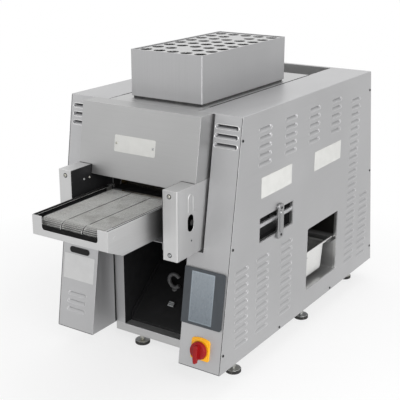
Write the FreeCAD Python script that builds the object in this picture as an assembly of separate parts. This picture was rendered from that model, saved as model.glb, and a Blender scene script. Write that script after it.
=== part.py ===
import FreeCAD, Part
import math
import os

V = FreeCAD.Vector

# Cabinet outline: the front and the rear both lean inward towards the top
WIDTH = 600.0
BODY_H = 720.0
FRONT_SET = 111.0
DEPTH_TOP = 858.0
REAR_FLARE = 97.0
SHEET = 1.5
BEND_R = 3.0

# Fits between pieces
SEAT_GAP = 0.3
RUN_GAP = 0.05
HOLE_GAP = 0.5

# Chassis and feet
RAIL_H = 26.0
RAIL_W = 30.0
RAIL_WALL = 2.0
CHASSIS_LEFT_IN = 140.0
CHASSIS_RIGHT_IN = 30.0
CHASSIS_END_INSET = 51.0
FOOT_LEFT_IN = 208.0
FOOT_RIGHT_IN = 53.0
FOOT_REAR_IN = 75.0
FOOT_FRONT_INSET = 45.0
FOOT_MID_Y = 606.0
PAD_R = 24.0
PAD_T = 14.0
PAD_EDGE = 3.0
STEM_R = 8.0
STEM_H = 35.0
STEM_NUT_R = 13.0
STEM_NUT_H = 7.0

# Front frame with the bay and the feed mouth
FRAME_GAP = 7.0
MOUTH_INSET = 34.0
MOUTH_OVER = 74.0
FRAME_INSET = 12.0

# Columns at both sides of the front
COL_W = 140.0
COL_UP_W = 88.0
COL_STEP = 334.0

# Pressed louvres
LOUVRE_W = 73.0
LOUVRE_H = 13.0
LOUVRE_D = 9.0
LOUVRE_END = 6.0
LOUVRE_LIP = 1.6
LOUVRE_SKIN = 1.0
LOUVRE_PITCH = 25.0
UPPER_TOP_DROP = 48.0
UPPER_ROWS = 5
UPPER_FIRST_Y = 198.0
UPPER_STEP_Y = 155.0
UPPER_BANKS = 4
TALL_Y = 818.0
TALL_END_Z = 60.0
LOW_ROWS = 10
LOW_TOP_Z = 285.0
LOW_FIRST_Y = 78.0
LOW_SECOND_Y = 198.0
LOW_THIRD_Y = 345.0
LOW_REAR_Y = 925.0
FRONT_LOUVRE_IN = 4.0
FRONT_LOUVRE_DROP = 27.0
FRONT_LOUVRES = 3
LEFT_LOUVRE_IN = 36.0
LEFT_LOUVRE_TOP = 118.0
REAR_LOUVRE_X = 60.0
REAR_LOUVRE_DROP = 180.0
REAR_LOUVRES = 6

# Top deck, exhaust opening and rear well
FLANGE_INSET = 2.0
DECK_GAP = 4.0
WELL_Y = 785.0
WELL_BACK = 955.0
WELL_DEEP = 70.0
EXHAUST_INSET = 16.0

# Exhaust hood
HOOD_SHIFT = 11.0
HOOD_SIDE = 30.0
HOOD_Y = 162.0
HOOD_D = 484.0
HOOD_H = 136.0
HOOD_RIM = 5.0
GASKET_H = 6.0
GASKET_INSET = 5.0
GASKET_W = 9.0
GRILLE_DROP = 2.5
GRILLE_T = 1.5
HOLE_R = 15.0
HOLE_COLS = 5
HOLE_ROWS = 8
HOLE_MARGIN_X = 30.0
HOLE_MARGIN_Y = 37.0

# Front cover
COVER_INSET = 1.0
COVER_PROUD = 59.0
TONGUE_INSET = 3.0
TONGUE_DROP = 27.0
PLATE_X = -8.0
PLATE_Z = 614.0
PLATE_W = 143.0
PLATE_H = 48.0
PLATE_T = 1.0
PLATE_SCREW_IN = 7.0
SCREW_R = 3.6
SCREW_H = 2.2

# Feed brackets and their inner guides
BRACKET_W = 46.0
BRACKET_FRONT = -66.0
BRACKET_UNDER = 123.0
BRACKET_OVER = 75.0
SLOT_Y = -1.5
SLOT_DROP = 28.5
SLOT_W = 29.0
SLOT_H = 49.0
BRACKET_SCREW_ACROSS = 20.6
BRACKET_SCREW_IN = 16.0
LEDGE_DROP = 75.0
LEDGE_W = 38.0
LEDGE_LEG = 20.0

# Tray pins
PIN_Y = 3.0
PIN_DROP = 28.0
PIN_R = 4.0
PIN_REACH = 10.4
PIN_COLLAR_R = 9.0
PIN_COLLAR_T = 5.0
PIN_HEAD_R = 8.0
PIN_HEAD_T = 7.0
PIN_HEAD_PROUD = 1.0

# Feed tray
TRAY_INSET = 31.6
TRAY_FRONT = -260.0
TRAY_REAR = 75.0
TRAY_OVER = 8.0
TRAY_FRONT_H = 55.0
TRAY_SLOPE_L = 60.0
TRAY_POST = 33.0
TRAY_RAIL = 18.0
TRAY_LIP = 12.0
TRAY_FOOT_LIP = 14.0
TRAY_CORNER = 9.0

# Belts and rollers of the feed tray
BELT_TOP = 466.0
BELT_T = 1.3
BELT_INSET = 20.4
BELT_GAP = 6.0
BELTS = 3
ROLLER_R = 15.9
ROLLER_OVER = 4.0
FRONT_ROLLER_Y = -232.0
REAR_ROLLER_Y = 50.0
JOURNAL_R = 4.0
HUB_R = 5.5
BED_T = 2.4
BED_INSET = 20.0
TRANSFER_T = 1.5
TRANSFER_GAP = 3.0
TRANSFER_DEEP = 4.0

# Broil chamber
CHAMBER_INSET = 10.0
CHAMBER_REAR = 770.0
CHAMBER_DROP = 66.0
CHAMBER_FLOOR_END = 640.0
CHAMBER_LOW_Z = 290.0
CHAMBER_LOW_Y = 503.0
BROIL_FRONT_Y = 150.0
BROIL_REAR_Y = 690.0
BROIL_INSET = 32.0
SPROCKET_R = 22.0
SPROCKET_T = 6.0
SPROCKET_COUNT = 3
BROIL_SHAFT_R = 8.0
BROIL_BELT_T = 1.5
HEATER_R = 5.0
HEATER_COUNT = 7
HEATER_FIRST_Y = 200.0
HEATER_STEP = 70.0
UPPER_HEATER_OVER = 104.0

# Drive
MOTOR_Y = 610.0
MOTOR_Z = 340.0
MOTOR_W = 80.0
MOTOR_L = 96.0
MOTOR_GAP = 20.0
MOTOR_SHAFT_R = 7.0
DRIVE_GAP = 12.0
DRIVE_T = 8.0
CHAIN_T = 4.0

# Discharge bay, return slide and chute
BAY_DROP = 81.0
SLIDE_FRONT_Y = 505.0
SLIDE_FRONT_Z = 300.0
SLIDE_REAR_DROP = 74.0
CHUTE_GAP = 4.0
CHUTE_FRONT_Y = 150.0
CHUTE_FRONT_Z = 8.0
CHUTE_REAR_Y = 500.0
CHUTE_REAR_Z = 296.0
CHUTE_T = 2.0
CHUTE_WALL = 24.0
CHUTE_BAR_Y = 478.0
CHUTE_BAR_R = 5.0
GRIP_X = -37.0
GRIP_Y = 270.0
GRIP_R = 20.0
GRIP_ROD = 5.0
CATCH_X = -9.0
CATCH_Y = 210.0
CATCH_W = 22.0
CATCH_L = 18.0
CATCH_T = 9.0

# Pan bay in the right side
PANBAY_Y0 = 525.0
PANBAY_Y1 = 750.0
PANBAY_Z0 = 67.0
PANBAY_Z1 = 278.0
PANBAY_GAP = 23.0
PANBAY_CORNER = 5.0
RUNNER_Z = 176.0
PAN_Y = 620.0
PAN_W = 172.0
PAN_L = 315.0
PAN_FACE_IN = 22.0
PAN_RIM = 5.0
PAN_H = 95.0
PAN_TAPER = 5.0
PAN_T = 1.2
PAN_CORNER = 22.0

# Slide window in the right side
WINDOW_Y0 = 212.0
WINDOW_Y1 = 418.0
WINDOW_Z0 = 330.0
WINDOW_Z1 = 405.0
RECESS_D = 30.0
ROD_IN = 14.0
ROD_Z = 374.0
ROD_R = 7.0
SLIDER_Y = 327.5
SLIDER_W = 30.0
SLIDER_H = 24.0
SLIDER_WALL = 4.0
HANDLE_W = 42.0
HANDLE_Z0 = 310.0
HANDLE_Z1 = 425.0
HANDLE_T = 12.0
HANDLE_GAP = 0.8
HANDLE_R = 7.0

# Plates on the right side and on the left column
LABEL_T = 0.5
LABEL_Z0 = 463.0
LABEL_H = 62.0
LABEL_A_Y = 217.0
LABEL_A_W = 184.0
LABEL_B_Y = 553.0
LABEL_B_W = 193.0
BADGE_IN = 68.5
BADGE_Z = 249.5
BADGE_W = 77.0
BADGE_H = 19.0
BADGE_T = 1.0

# Touch screen
BEZEL_INSET = 8.0
BEZEL_Z0 = 127.0
BEZEL_Z1 = 288.0
BEZEL_T = 4.0
BEZEL_R = 8.0
GLASS_IN = 23.0
GLASS_W = 77.0
GLASS_Z0 = 133.0
GLASS_Z1 = 280.0
GLASS_T = 1.2
CASE_IN = 4.0
CASE_D = 38.0

# Main switch
SWITCH_IN = 69.0
SWITCH_Z = 59.5
SWITCH_W = 62.0
SWITCH_H = 60.0
SWITCH_ARCH = 6.0
SWITCH_T = 4.0
SWITCH_R = 6.0
KNOB_R = 27.0
KNOB_T = 11.0
KNOB_SKIRT = 3.0
GRIP_BAR_W = 15.0
GRIP_BAR_T = 12.0
GRIP_BAR_TIP = 7.0
GRIP_BAR_L = 35.0
SHAFT_R = 5.0
SHAFT_L = 20.0
SWITCH_BODY = 50.0
SWITCH_BODY_D = 38.0

# Power box and cable gland
POWER_INSET = 15.0
POWER_W = 110.0
POWER_Y0 = 430.0
POWER_D = 260.0
POWER_H = 280.0
GLAND_IN = 80.0
GLAND_Z = 60.0
GLAND_R = 11.0
GLAND_NUT_R = 15.0
GLAND_NUT_T = 7.0
GLAND_PROUD = 20.0
GLAND_BORE = 6.0

# Side screws, measured from the leaning front and rear edges and from the bottom edge
SIDE_SCREW_EDGE = 10.0
SIDE_SCREW_TOP = 65.0
SIDE_SCREW_MID = 357.0
SIDE_SCREW_LOW = 55.0
SIDE_SCREW_FLOOR_Z = 8.0
SIDE_SCREW_FLOOR_A = 350.0
SIDE_SCREW_FLOOR_B = 712.0

# Values that follow from the ones above
HALF = WIDTH / 2
IN_X = HALF - SHEET
COL_IN = HALF - COL_W
COL_UP_IN = HALF - COL_UP_W
MOUTH_HALF = COL_IN - MOUTH_INSET
CHASSIS_LEFT = CHASSIS_LEFT_IN - HALF
CHASSIS_RIGHT = HALF - CHASSIS_RIGHT_IN
FOOT_LEFT_X = FOOT_LEFT_IN - HALF
FOOT_RIGHT_X = HALF - FOOT_RIGHT_IN
FOOT_REAR_X = HALF - FOOT_REAR_IN
FRONT_LOUVRE_X = COL_UP_IN + FRONT_LOUVRE_IN
LEFT_LOUVRE_X = COL_IN + LEFT_LOUVRE_IN
FLANGE_IN = COL_IN - FLANGE_INSET
DECK_HALF = FLANGE_IN - DECK_GAP
HOOD_W = 2 * (DECK_HALF - HOOD_SIDE)
HOOD_LEFT = HOOD_SHIFT - HOOD_W / 2
BRACKET_OUT = COL_IN + BRACKET_W
COVER_HALF = BRACKET_OUT - COVER_INSET
TONGUE_HALF = COL_IN - TONGUE_INSET
BRACKET_SCREW_X = COL_IN + BRACKET_SCREW_ACROSS
LEDGE_REACH = COL_IN - LEDGE_W
TRAY_HALF = COL_IN - TRAY_INSET
PIN_TIP = TRAY_HALF - PIN_REACH
BELT_HALF = TRAY_HALF - BELT_INSET
ROLLER_HALF = BELT_HALF + ROLLER_OVER
CHAMBER_HALF = COL_IN - CHAMBER_INSET
BROIL_HALF = CHAMBER_HALF - BROIL_INSET
DRIVE_X = CHAMBER_HALF + DRIVE_GAP
MOTOR_X = DRIVE_X + MOTOR_GAP
CHUTE_HALF = MOUTH_HALF - CHUTE_GAP
PAN_FACE = HALF - PAN_FACE_IN
PANBAY_IN = PAN_FACE - PAN_L - PANBAY_GAP
BADGE_X = BADGE_IN - HALF
BEZEL_RIGHT = HALF - BEZEL_INSET
GLASS_X0 = COL_IN + GLASS_IN
GLASS_X1 = GLASS_X0 + GLASS_W
SWITCH_X = HALF - SWITCH_IN
POWER_X0 = POWER_INSET - HALF
GLAND_X = HALF - GLAND_IN
TALL_TOP_Z = BODY_H - UPPER_TOP_DROP - LOUVRE_PITCH
TALL_ROWS = int((TALL_TOP_Z - TALL_END_Z) / LOUVRE_PITCH) + 1
ROOF = BODY_H - SHEET
REAR_TOP = FRONT_SET + DEPTH_TOP
REAR_FOOT = REAR_TOP + REAR_FLARE
FRAME_Y = FRONT_SET + FRAME_GAP
FRAME_BACK = FRAME_Y + SHEET
FRONT_TILT = math.degrees(math.atan2(FRONT_SET, BODY_H))
REAR_TILT = math.degrees(math.atan2(REAR_FLARE, BODY_H))
FOOT_DROP = RAIL_H + STEM_H + PAD_T
CHASSIS_END = REAR_TOP + CHASSIS_END_INSET - RAIL_W / 2
FOOT_FRONT_Y = FRAME_Y + FOOT_FRONT_INSET
FOOT_REAR_Y = CHASSIS_END
TRAY_TOP = BELT_TOP + TRAY_OVER
LEDGE_Z = BELT_TOP - LEDGE_DROP
PIN_Z = BELT_TOP - PIN_DROP
SLOT_Z = BELT_TOP - SLOT_DROP
BRACKET_Z0 = BELT_TOP - BRACKET_UNDER
BRACKET_Z1 = BELT_TOP + BRACKET_OVER
MOUTH_TOP = BELT_TOP + MOUTH_OVER
CHAMBER_FLOOR_Z = BELT_TOP - CHAMBER_DROP
UPPER_HEATER_Z = BELT_TOP + UPPER_HEATER_OVER
BAY_TOP = BELT_TOP - BAY_DROP
SLIDE_REAR_Z = BELT_TOP - SLIDE_REAR_DROP
HOOD_Z0 = BODY_H + GASKET_H
HOOD_Z1 = HOOD_Z0 + HOOD_H
HOOD_RIGHT = HOOD_LEFT + HOOD_W
HOOD_BACK = HOOD_Y + HOOD_D
GUIDE_IN = COL_IN - SHEET
COVER_Z0 = BRACKET_Z1 + SEAT_GAP
TRAY_LOW = LEDGE_Z + SEAT_GAP
BELT_OUT_R = ROLLER_R + SEAT_GAP + BELT_T
ROLLER_Z = BELT_TOP - BELT_OUT_R
BROIL_OUT_R = SPROCKET_R + SEAT_GAP + BROIL_BELT_T
BROIL_Z = BELT_TOP - BROIL_OUT_R
RUNNER_TOP = RUNNER_Z + SHEET
PAN_TOP = RUNNER_TOP + SEAT_GAP
ROD_X = HALF - ROD_IN
CHUTE_SLOPE = (CHUTE_REAR_Z - CHUTE_FRONT_Z) / (CHUTE_REAR_Y - CHUTE_FRONT_Y)
CHUTE_TILT = math.degrees(math.atan(CHUTE_SLOPE))
GLAND_Y = REAR_FOOT - GLAND_Z * math.sin(math.radians(REAR_TILT))
GLAND_REACH = GLAND_Y + GLAND_PROUD * math.cos(math.radians(REAR_TILT))
GLAND_REACH += GLAND_R * math.sin(math.radians(REAR_TILT))


def lean(z):
    """Y of the leaning front face at height z."""
    return FRONT_SET * z / BODY_H


def back(z):
    """Y of the leaning rear face at height z."""
    return REAR_FOOT - REAR_FLARE * z / BODY_H


def box(x0, x1, y0, y1, z0, z1):
    """Block between two corners."""
    return Part.makeBox(x1 - x0, y1 - y0, z1 - z0, V(x0, y0, z0))


def prism(points, x0, x1):
    """Outline of (y, z) points extruded along X."""
    loop = [V(x0, y, z) for y, z in points]
    face = Part.Face(Part.makePolygon(loop + loop[:1]))
    return face.extrude(V(x1 - x0, 0, 0))


def slab(x0, x1, z0, z1, d0, d1):
    """Sheet parallel to the leaning front, between two insets from it."""
    outline = [
        (lean(z0) + d0, z0),
        (lean(z0) + d1, z0),
        (lean(z1) + d1, z1),
        (lean(z1) + d0, z1),
    ]
    return prism(outline, x0, x1)


def rod_x(x0, x1, y, z, radius):
    """Round bar along X."""
    return Part.makeCylinder(radius, x1 - x0, V(x0, y, z), V(1, 0, 0))


def rod_y(y0, y1, x, z, radius):
    """Round bar along Y."""
    return Part.makeCylinder(radius, y1 - y0, V(x, y0, z), V(0, 1, 0))


def rod_z(z0, z1, x, y, radius):
    """Round bar along Z."""
    return Part.makeCylinder(radius, z1 - z0, V(x, y, z0), V(0, 0, 1))


def fuse(shapes):
    """One solid from touching shapes."""
    return shapes[0].multiFuse(shapes[1:]).removeSplitter()


def mirrored(shape):
    """The same piece on the other side of the cabinet."""
    return shape.mirror(V(0, 0, 0), V(1, 0, 0))


def stadium(width, height, depth):
    """Upright plate with round ends, centred on the origin, from y = 0 to y = depth."""
    reach = abs(width - height) / 2
    radius = min(width, height) / 2
    if width > height:
        middle = box(-reach, reach, 0, depth, -radius, radius)
        ends = [rod_y(0, depth, -reach, 0, radius), rod_y(0, depth, reach, 0, radius)]
    else:
        middle = box(-radius, radius, 0, depth, -reach, reach)
        ends = [rod_y(0, depth, 0, -reach, radius), rod_y(0, depth, 0, reach, radius)]
    return fuse([middle] + ends)


def on_front(shape, x, z, proud):
    """Places an upright shape on the leaning front, standing proud of it along Y."""
    moved = shape.copy()
    moved.rotate(V(0, 0, 0), V(1, 0, 0), -FRONT_TILT)
    moved.translate(V(x, lean(z) - proud, z))
    return moved


def loop_belt(x0, x1, y0, z0, y1, z1, inner, thickness):
    """Endless band round two equal wheels that turn about X."""
    def outline(radius):
        along = V(0, y1 - y0, z1 - z0).normalize()
        side = V(0, -along.z, along.y) * radius
        first = V(x0, y0, z0)
        last = V(x0, y1, z1)
        out = along * radius
        top = Part.LineSegment(first + side, last + side).toShape()
        nose = Part.Arc(last + side, last + out, last - side).toShape()
        under = Part.LineSegment(last - side, first - side).toShape()
        tail = Part.Arc(first - side, first - out, first + side).toShape()
        wire = Part.Wire([top, nose, under, tail])
        return Part.Face(wire).extrude(V(x1 - x0, 0, 0))
    return outline(inner + thickness).cut(outline(inner))


def louvre_pair(x0, top):
    """Skin and hollow of one louvre pressed inward in an upright sheet whose face is y = 0."""
    x1 = x0 + LOUVRE_W
    low = top - LOUVRE_H
    skin = Part.makeWedge(
        x0 - LOUVRE_SKIN, SHEET / 2, low - LOUVRE_SKIN, top - LOUVRE_LIP, x0 + LOUVRE_END,
        x1 + LOUVRE_SKIN, LOUVRE_D, top - RUN_GAP, top - RUN_GAP, x1 - LOUVRE_END,
    )
    hollow = Part.makeWedge(
        x0, -SHEET, low, top - LOUVRE_LIP, x0 + LOUVRE_END,
        x1, LOUVRE_D - LOUVRE_SKIN, top, top, x1 - LOUVRE_END,
    )
    return skin, hollow


def pressed(sheet, places, move):
    """Presses louvres at (across, top) places into a sheet, each moved onto it."""
    skins = []
    hollows = []
    for across, top in places:
        skin, hollow = louvre_pair(across, top)
        skins.append(move(skin))
        hollows.append(move(hollow))
    return sheet.multiFuse(skins).cut(Part.Compound(hollows)).removeSplitter()


def on_right(shape):
    """Turns an upright sheet feature onto the right side panel."""
    moved = shape.copy()
    moved.rotate(V(0, 0, 0), V(0, 0, 1), 90)
    moved.translate(V(HALF, 0, 0))
    return moved


def on_rear(shape):
    """Turns an upright sheet feature onto the leaning rear panel."""
    moved = shape.copy()
    moved.rotate(V(0, 0, 0), V(0, 0, 1), 180)
    moved.rotate(V(0, 0, 0), V(1, 0, 0), REAR_TILT)
    moved.translate(V(0, REAR_FOOT, 0))
    return moved


def edges_along(shape, axis, test):
    """Straight edges of a shape that run along an axis and pass a test on their middle."""
    found = []
    for edge in shape.Edges:
        if len(edge.Vertexes) != 2:
            continue
        run = edge.Vertexes[1].Point - edge.Vertexes[0].Point
        if run.Length > 0 and abs(abs(run.normalize().dot(axis)) - 1) < 1e-6:
            if test(edge.CenterOfMass):
                found.append(edge)
    return found


def plate_outline(width, length, radius, z):
    """Flat face with round corners, centred on the origin, across X and Y."""
    base = box(-width / 2, width / 2, -length / 2, length / 2, z, z + SHEET)
    base = base.makeFillet(radius, edges_along(base, V(0, 0, 1), lambda c: True))
    low = [face for face in base.Faces if abs(face.CenterOfMass.z - z) < 1e-6]
    return low[0].OuterWire


def base_cross_rails():
    """Square tubes across the chassis, under the front and the rear."""
    rails = []
    for y in (FRAME_Y, CHASSIS_END - RAIL_W / 2):
        tube = box(CHASSIS_LEFT, CHASSIS_RIGHT, y, y + RAIL_W, -RAIL_H, 0)
        bore = box(
            CHASSIS_LEFT - SHEET, CHASSIS_RIGHT + SHEET,
            y + RAIL_WALL, y + RAIL_W - RAIL_WALL, RAIL_WALL - RAIL_H, -RAIL_WALL,
        )
        tube = tube.makeFillet(RAIL_WALL, edges_along(tube, V(1, 0, 0), lambda c: c.z < -RAIL_WALL))
        rails.append(tube.cut(bore))
    return rails


def base_side_rails():
    """Square tubes that join the cross rails."""
    rails = []
    y0 = FRAME_Y + RAIL_W
    y1 = CHASSIS_END - RAIL_W / 2
    for x in (FOOT_LEFT_X, FOOT_RIGHT_X):
        tube = box(x - RAIL_W / 2, x + RAIL_W / 2, y0, y1, -RAIL_H, 0)
        inner = RAIL_W / 2 - RAIL_WALL
        bore = box(x - inner, x + inner, y0 - SHEET, y1 + SHEET, RAIL_WALL - RAIL_H, -RAIL_WALL)
        rails.append(tube.cut(bore))
    return rails


def foot_places():
    """Centres of the six feet."""
    return [
        (FOOT_LEFT_X, FOOT_FRONT_Y),
        (FOOT_RIGHT_X, FOOT_FRONT_Y),
        (FOOT_LEFT_X, FOOT_MID_Y),
        (FOOT_RIGHT_X, FOOT_MID_Y),
        (FOOT_LEFT_X, FOOT_REAR_Y),
        (FOOT_REAR_X, FOOT_REAR_Y),
    ]


def foot_pads():
    """Rubber discs with a chamfered upper edge."""
    pads = []
    for x, y in foot_places():
        disc = rod_z(-FOOT_DROP, PAD_T - FOOT_DROP, x, y, PAD_R)
        rim = [edge for edge in disc.Edges if abs(edge.CenterOfMass.z - PAD_T + FOOT_DROP) < 1e-6]
        pads.append(disc.makeChamfer(PAD_EDGE, rim))
    return pads


def foot_stems():
    """Stud and hexagon nut of each foot."""
    stems = []
    for x, y in foot_places():
        stud = rod_z(PAD_T - FOOT_DROP, -RAIL_H, x, y, STEM_R)
        corners = []
        for step in range(7):
            turn = math.radians(60 * step)
            px = x + STEM_NUT_R * math.cos(turn)
            corners.append(V(px, y + STEM_NUT_R * math.sin(turn), -RAIL_H - STEM_NUT_H))
        nut = Part.Face(Part.makePolygon(corners)).extrude(V(0, 0, STEM_NUT_H))
        stems.append(fuse([stud, nut]))
    return stems


def floor_pan():
    """Bottom sheet of the cabinet, on the chassis rails."""
    outline = [
        (FRAME_Y, 0),
        (back(0) - SHEET, 0),
        (back(SHEET) - SHEET, SHEET),
        (FRAME_Y, SHEET),
    ]
    return prism(outline, -IN_X, IN_X)


def front_frame():
    """Upright sheet behind the columns, open for the bay and the feed mouth."""
    reach = IN_X - FRAME_INSET
    plate = box(-reach, reach, FRAME_Y, FRAME_BACK, SHEET, ROOF)
    return plate.cut(box(-MOUTH_HALF, MOUTH_HALF, FRAME_Y - SHEET, FRAME_BACK + SHEET, 0, MOUTH_TOP))


def side_sheet():
    """Plain right side sheet with its top flange and the bend between them."""
    outline = [(0, 0), (back(0), 0), (back(BODY_H), BODY_H), (lean(BODY_H), BODY_H)]
    sheet = prism(outline, IN_X, HALF)
    top = [(lean(ROOF), ROOF), (back(ROOF), ROOF), (back(BODY_H), BODY_H), (lean(BODY_H), BODY_H)]
    folded = fuse([sheet, prism(top, FLANGE_IN, HALF)])
    corner = edges_along(folded, V(0, 1, 0), lambda c: c.x > HALF - 1e-6 and c.z > BODY_H - 1e-6)
    folded = folded.makeFillet(BEND_R, corner)
    return folded


def upper_places():
    """Louvres high on the side sheets."""
    places = []
    for bank in range(UPPER_BANKS):
        for row in range(UPPER_ROWS):
            top = BODY_H - UPPER_TOP_DROP - row * LOUVRE_PITCH
            places.append((UPPER_FIRST_Y + bank * UPPER_STEP_Y, top))
    for row in range(TALL_ROWS):
        places.append((TALL_Y, TALL_TOP_Z - row * LOUVRE_PITCH))
    return places


def lower_places():
    """Louvres low on the right side sheet."""
    places = []
    for y in (LOW_FIRST_Y, LOW_SECOND_Y, LOW_THIRD_Y, LOW_REAR_Y):
        for row in range(LOW_ROWS):
            places.append((y, LOW_TOP_Z - row * LOUVRE_PITCH))
    return places


def right_side_panel():
    """Right side sheet with the slide window, the pan opening and its louvre banks."""
    sheet = side_sheet()
    window = box(IN_X - SHEET, HALF + SHEET, WINDOW_Y0, WINDOW_Y1, WINDOW_Z0, WINDOW_Z1)
    bay = box(IN_X - SHEET, HALF + SHEET, PANBAY_Y0, PANBAY_Y1, PANBAY_Z0, PANBAY_Z1)
    bay = bay.makeFillet(PANBAY_CORNER, edges_along(bay, V(1, 0, 0), lambda c: True))
    sheet = sheet.cut(window).cut(bay)
    return pressed(sheet, upper_places() + lower_places(), on_right)


def left_side_panel():
    """Left side sheet, with the upper louvre banks only."""
    return mirrored(pressed(side_sheet(), upper_places(), on_right))


def rear_panel():
    """Leaning rear sheet with a top flange, louvres and the cable hole."""
    outline = [(back(0) - SHEET, 0), (back(0), 0), (back(ROOF), ROOF), (back(ROOF) - SHEET, ROOF)]
    sheet = prism(outline, -IN_X, IN_X)
    flange_outline = [(WELL_BACK, ROOF), (back(ROOF), ROOF), (REAR_TOP, BODY_H), (WELL_BACK, BODY_H)]
    folded = fuse([sheet, prism(flange_outline, -FLANGE_IN, FLANGE_IN)])
    places = []
    for row in range(REAR_LOUVRES):
        top = BODY_H - REAR_LOUVRE_DROP - row * LOUVRE_PITCH
        places.append((REAR_LOUVRE_X, top))
        places.append((-REAR_LOUVRE_X - LOUVRE_W, top))
    folded = pressed(folded, places, on_rear)
    hole = Part.makeCylinder(GLAND_R + HOLE_GAP, 4 * SHEET, V(-GLAND_X, -2 * SHEET, GLAND_Z), V(0, 1, 0))
    return folded.cut(on_rear(hole))


def top_deck():
    """Centre sheet of the top with the exhaust opening."""
    sheet = box(-DECK_HALF, DECK_HALF, FRONT_SET, WELL_Y + SHEET, ROOF, BODY_H)
    hole = box(
        HOOD_LEFT + EXHAUST_INSET, HOOD_RIGHT - EXHAUST_INSET,
        HOOD_Y + EXHAUST_INSET, HOOD_BACK - EXHAUST_INSET, ROOF - SHEET, BODY_H + SHEET,
    )
    return sheet.cut(hole)


def rear_well():
    """Open trough behind the deck."""
    block = box(-FLANGE_IN, FLANGE_IN, WELL_Y, WELL_BACK, BODY_H - WELL_DEEP, BODY_H)
    inside = box(
        SHEET - FLANGE_IN, FLANGE_IN - SHEET,
        WELL_Y + SHEET, WELL_BACK - SHEET, BODY_H - WELL_DEEP + SHEET, BODY_H + SHEET,
    )
    seat = box(-DECK_HALF - HOLE_GAP, DECK_HALF + HOLE_GAP, WELL_Y, WELL_Y + SHEET, ROOF, BODY_H)
    return block.cut(inside).cut(seat)


def column_shell(more_places):
    """Right column: leaning face with louvres at the top and at more places, inner walls, step, foot."""
    low_wall = [(lean(0), 0), (FRAME_Y, 0), (FRAME_Y, COL_STEP), (lean(COL_STEP), COL_STEP)]
    high_wall = [(lean(COL_STEP), COL_STEP), (FRAME_Y, COL_STEP), (FRAME_Y, ROOF), (lean(ROOF), ROOF)]
    step_z = COL_STEP - SHEET
    step = [(lean(step_z), step_z), (FRAME_Y, step_z), (FRAME_Y, COL_STEP), (lean(COL_STEP), COL_STEP)]
    foot = [(lean(0), 0), (FRAME_Y, 0), (FRAME_Y, SHEET), (lean(SHEET), SHEET)]
    shell = fuse([
        slab(COL_IN, IN_X, 0, COL_STEP, 0, SHEET),
        slab(COL_UP_IN, IN_X, COL_STEP, ROOF, 0, SHEET),
        prism(low_wall, COL_IN, COL_IN + SHEET),
        prism(high_wall, COL_UP_IN, COL_UP_IN + SHEET),
        prism(step, COL_IN, COL_UP_IN + SHEET),
        prism(foot, COL_IN, IN_X),
    ])
    scale = 1 / math.cos(math.radians(FRONT_TILT))
    places = list(more_places)
    for row in range(FRONT_LOUVRES):
        places.append((FRONT_LOUVRE_X, BODY_H - FRONT_LOUVRE_DROP - row * LOUVRE_PITCH))
    along = [(x, top * scale) for x, top in places]
    return pressed(shell, along, lambda shape: on_front(shape, 0, 0, 0))


def right_column():
    """Right column with the cut-outs for the screen and the switch."""
    window = slab(
        GLASS_X0 - CASE_IN - HOLE_GAP, GLASS_X1 + CASE_IN + HOLE_GAP,
        GLASS_Z0 - HOLE_GAP, GLASS_Z1 + HOLE_GAP, -SHEET, 2 * SHEET,
    )
    hole = on_front(rod_y(-2 * SHEET, 2 * SHEET, 0, 0, 2 * SHAFT_R), SWITCH_X, SWITCH_Z, 0)
    return column_shell([]).cut(window).cut(hole)


def left_column():
    """Left column, with a second group of louvres near its foot."""
    low = [(LEFT_LOUVRE_X, LEFT_LOUVRE_TOP - row * LOUVRE_PITCH) for row in range(FRONT_LOUVRES)]
    return mirrored(column_shell(low))


def bracket():
    """Right feed bracket: folded sheet, open to the inside and to the rear."""
    block = box(COL_IN, BRACKET_OUT, BRACKET_FRONT, FRAME_Y, BRACKET_Z0, BRACKET_Z1)
    inside = box(
        COL_IN - SHEET, BRACKET_OUT - SHEET,
        BRACKET_FRONT + SHEET, FRAME_Y + SHEET, BRACKET_Z0 + SHEET, BRACKET_Z1 - SHEET,
    )
    corner = edges_along(block, V(0, 0, 1), lambda c: c.y < 0 and c.x > COL_IN + SHEET)
    shell = block.makeFillet(BEND_R, corner).cut(inside)
    slot = stadium(SLOT_W, SLOT_H, 4 * SHEET)
    slot.rotate(V(0, 0, 0), V(0, 0, 1), 90)
    slot.translate(V(BRACKET_OUT + 2 * SHEET, SLOT_Y, SLOT_Z))
    return shell.cut(slot)


def feed_guide():
    """Dark inner plate of the right feed bracket, with the pin hole."""
    plate = box(GUIDE_IN, COL_IN, BRACKET_FRONT, FRAME_Y, BRACKET_Z0, BRACKET_Z1)
    return plate.cut(rod_x(GUIDE_IN - SHEET, COL_IN + SHEET, PIN_Y, PIN_Z, PIN_R + RUN_GAP))


def tray_ledges():
    """Angles on the guides that carry the feed tray."""
    angle = fuse([
        box(LEDGE_REACH, GUIDE_IN, BRACKET_FRONT, FRAME_Y, LEDGE_Z - SHEET, LEDGE_Z),
        box(GUIDE_IN - SHEET, GUIDE_IN, BRACKET_FRONT, FRAME_Y, LEDGE_Z - LEDGE_LEG, LEDGE_Z),
    ])
    return [angle, mirrored(angle)]


def tray_pins():
    """Pins that locate the feed tray, each with a collar on its guide and a head in the slot."""
    head_end = BRACKET_OUT + PIN_HEAD_PROUD
    pin = fuse([
        rod_x(PIN_TIP, head_end, PIN_Y, PIN_Z, PIN_R),
        rod_x(GUIDE_IN - PIN_COLLAR_T, GUIDE_IN, PIN_Y, PIN_Z, PIN_COLLAR_R),
        rod_x(head_end - PIN_HEAD_T, head_end, PIN_Y, PIN_Z, PIN_HEAD_R),
    ])
    return [pin, mirrored(pin)]


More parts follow.
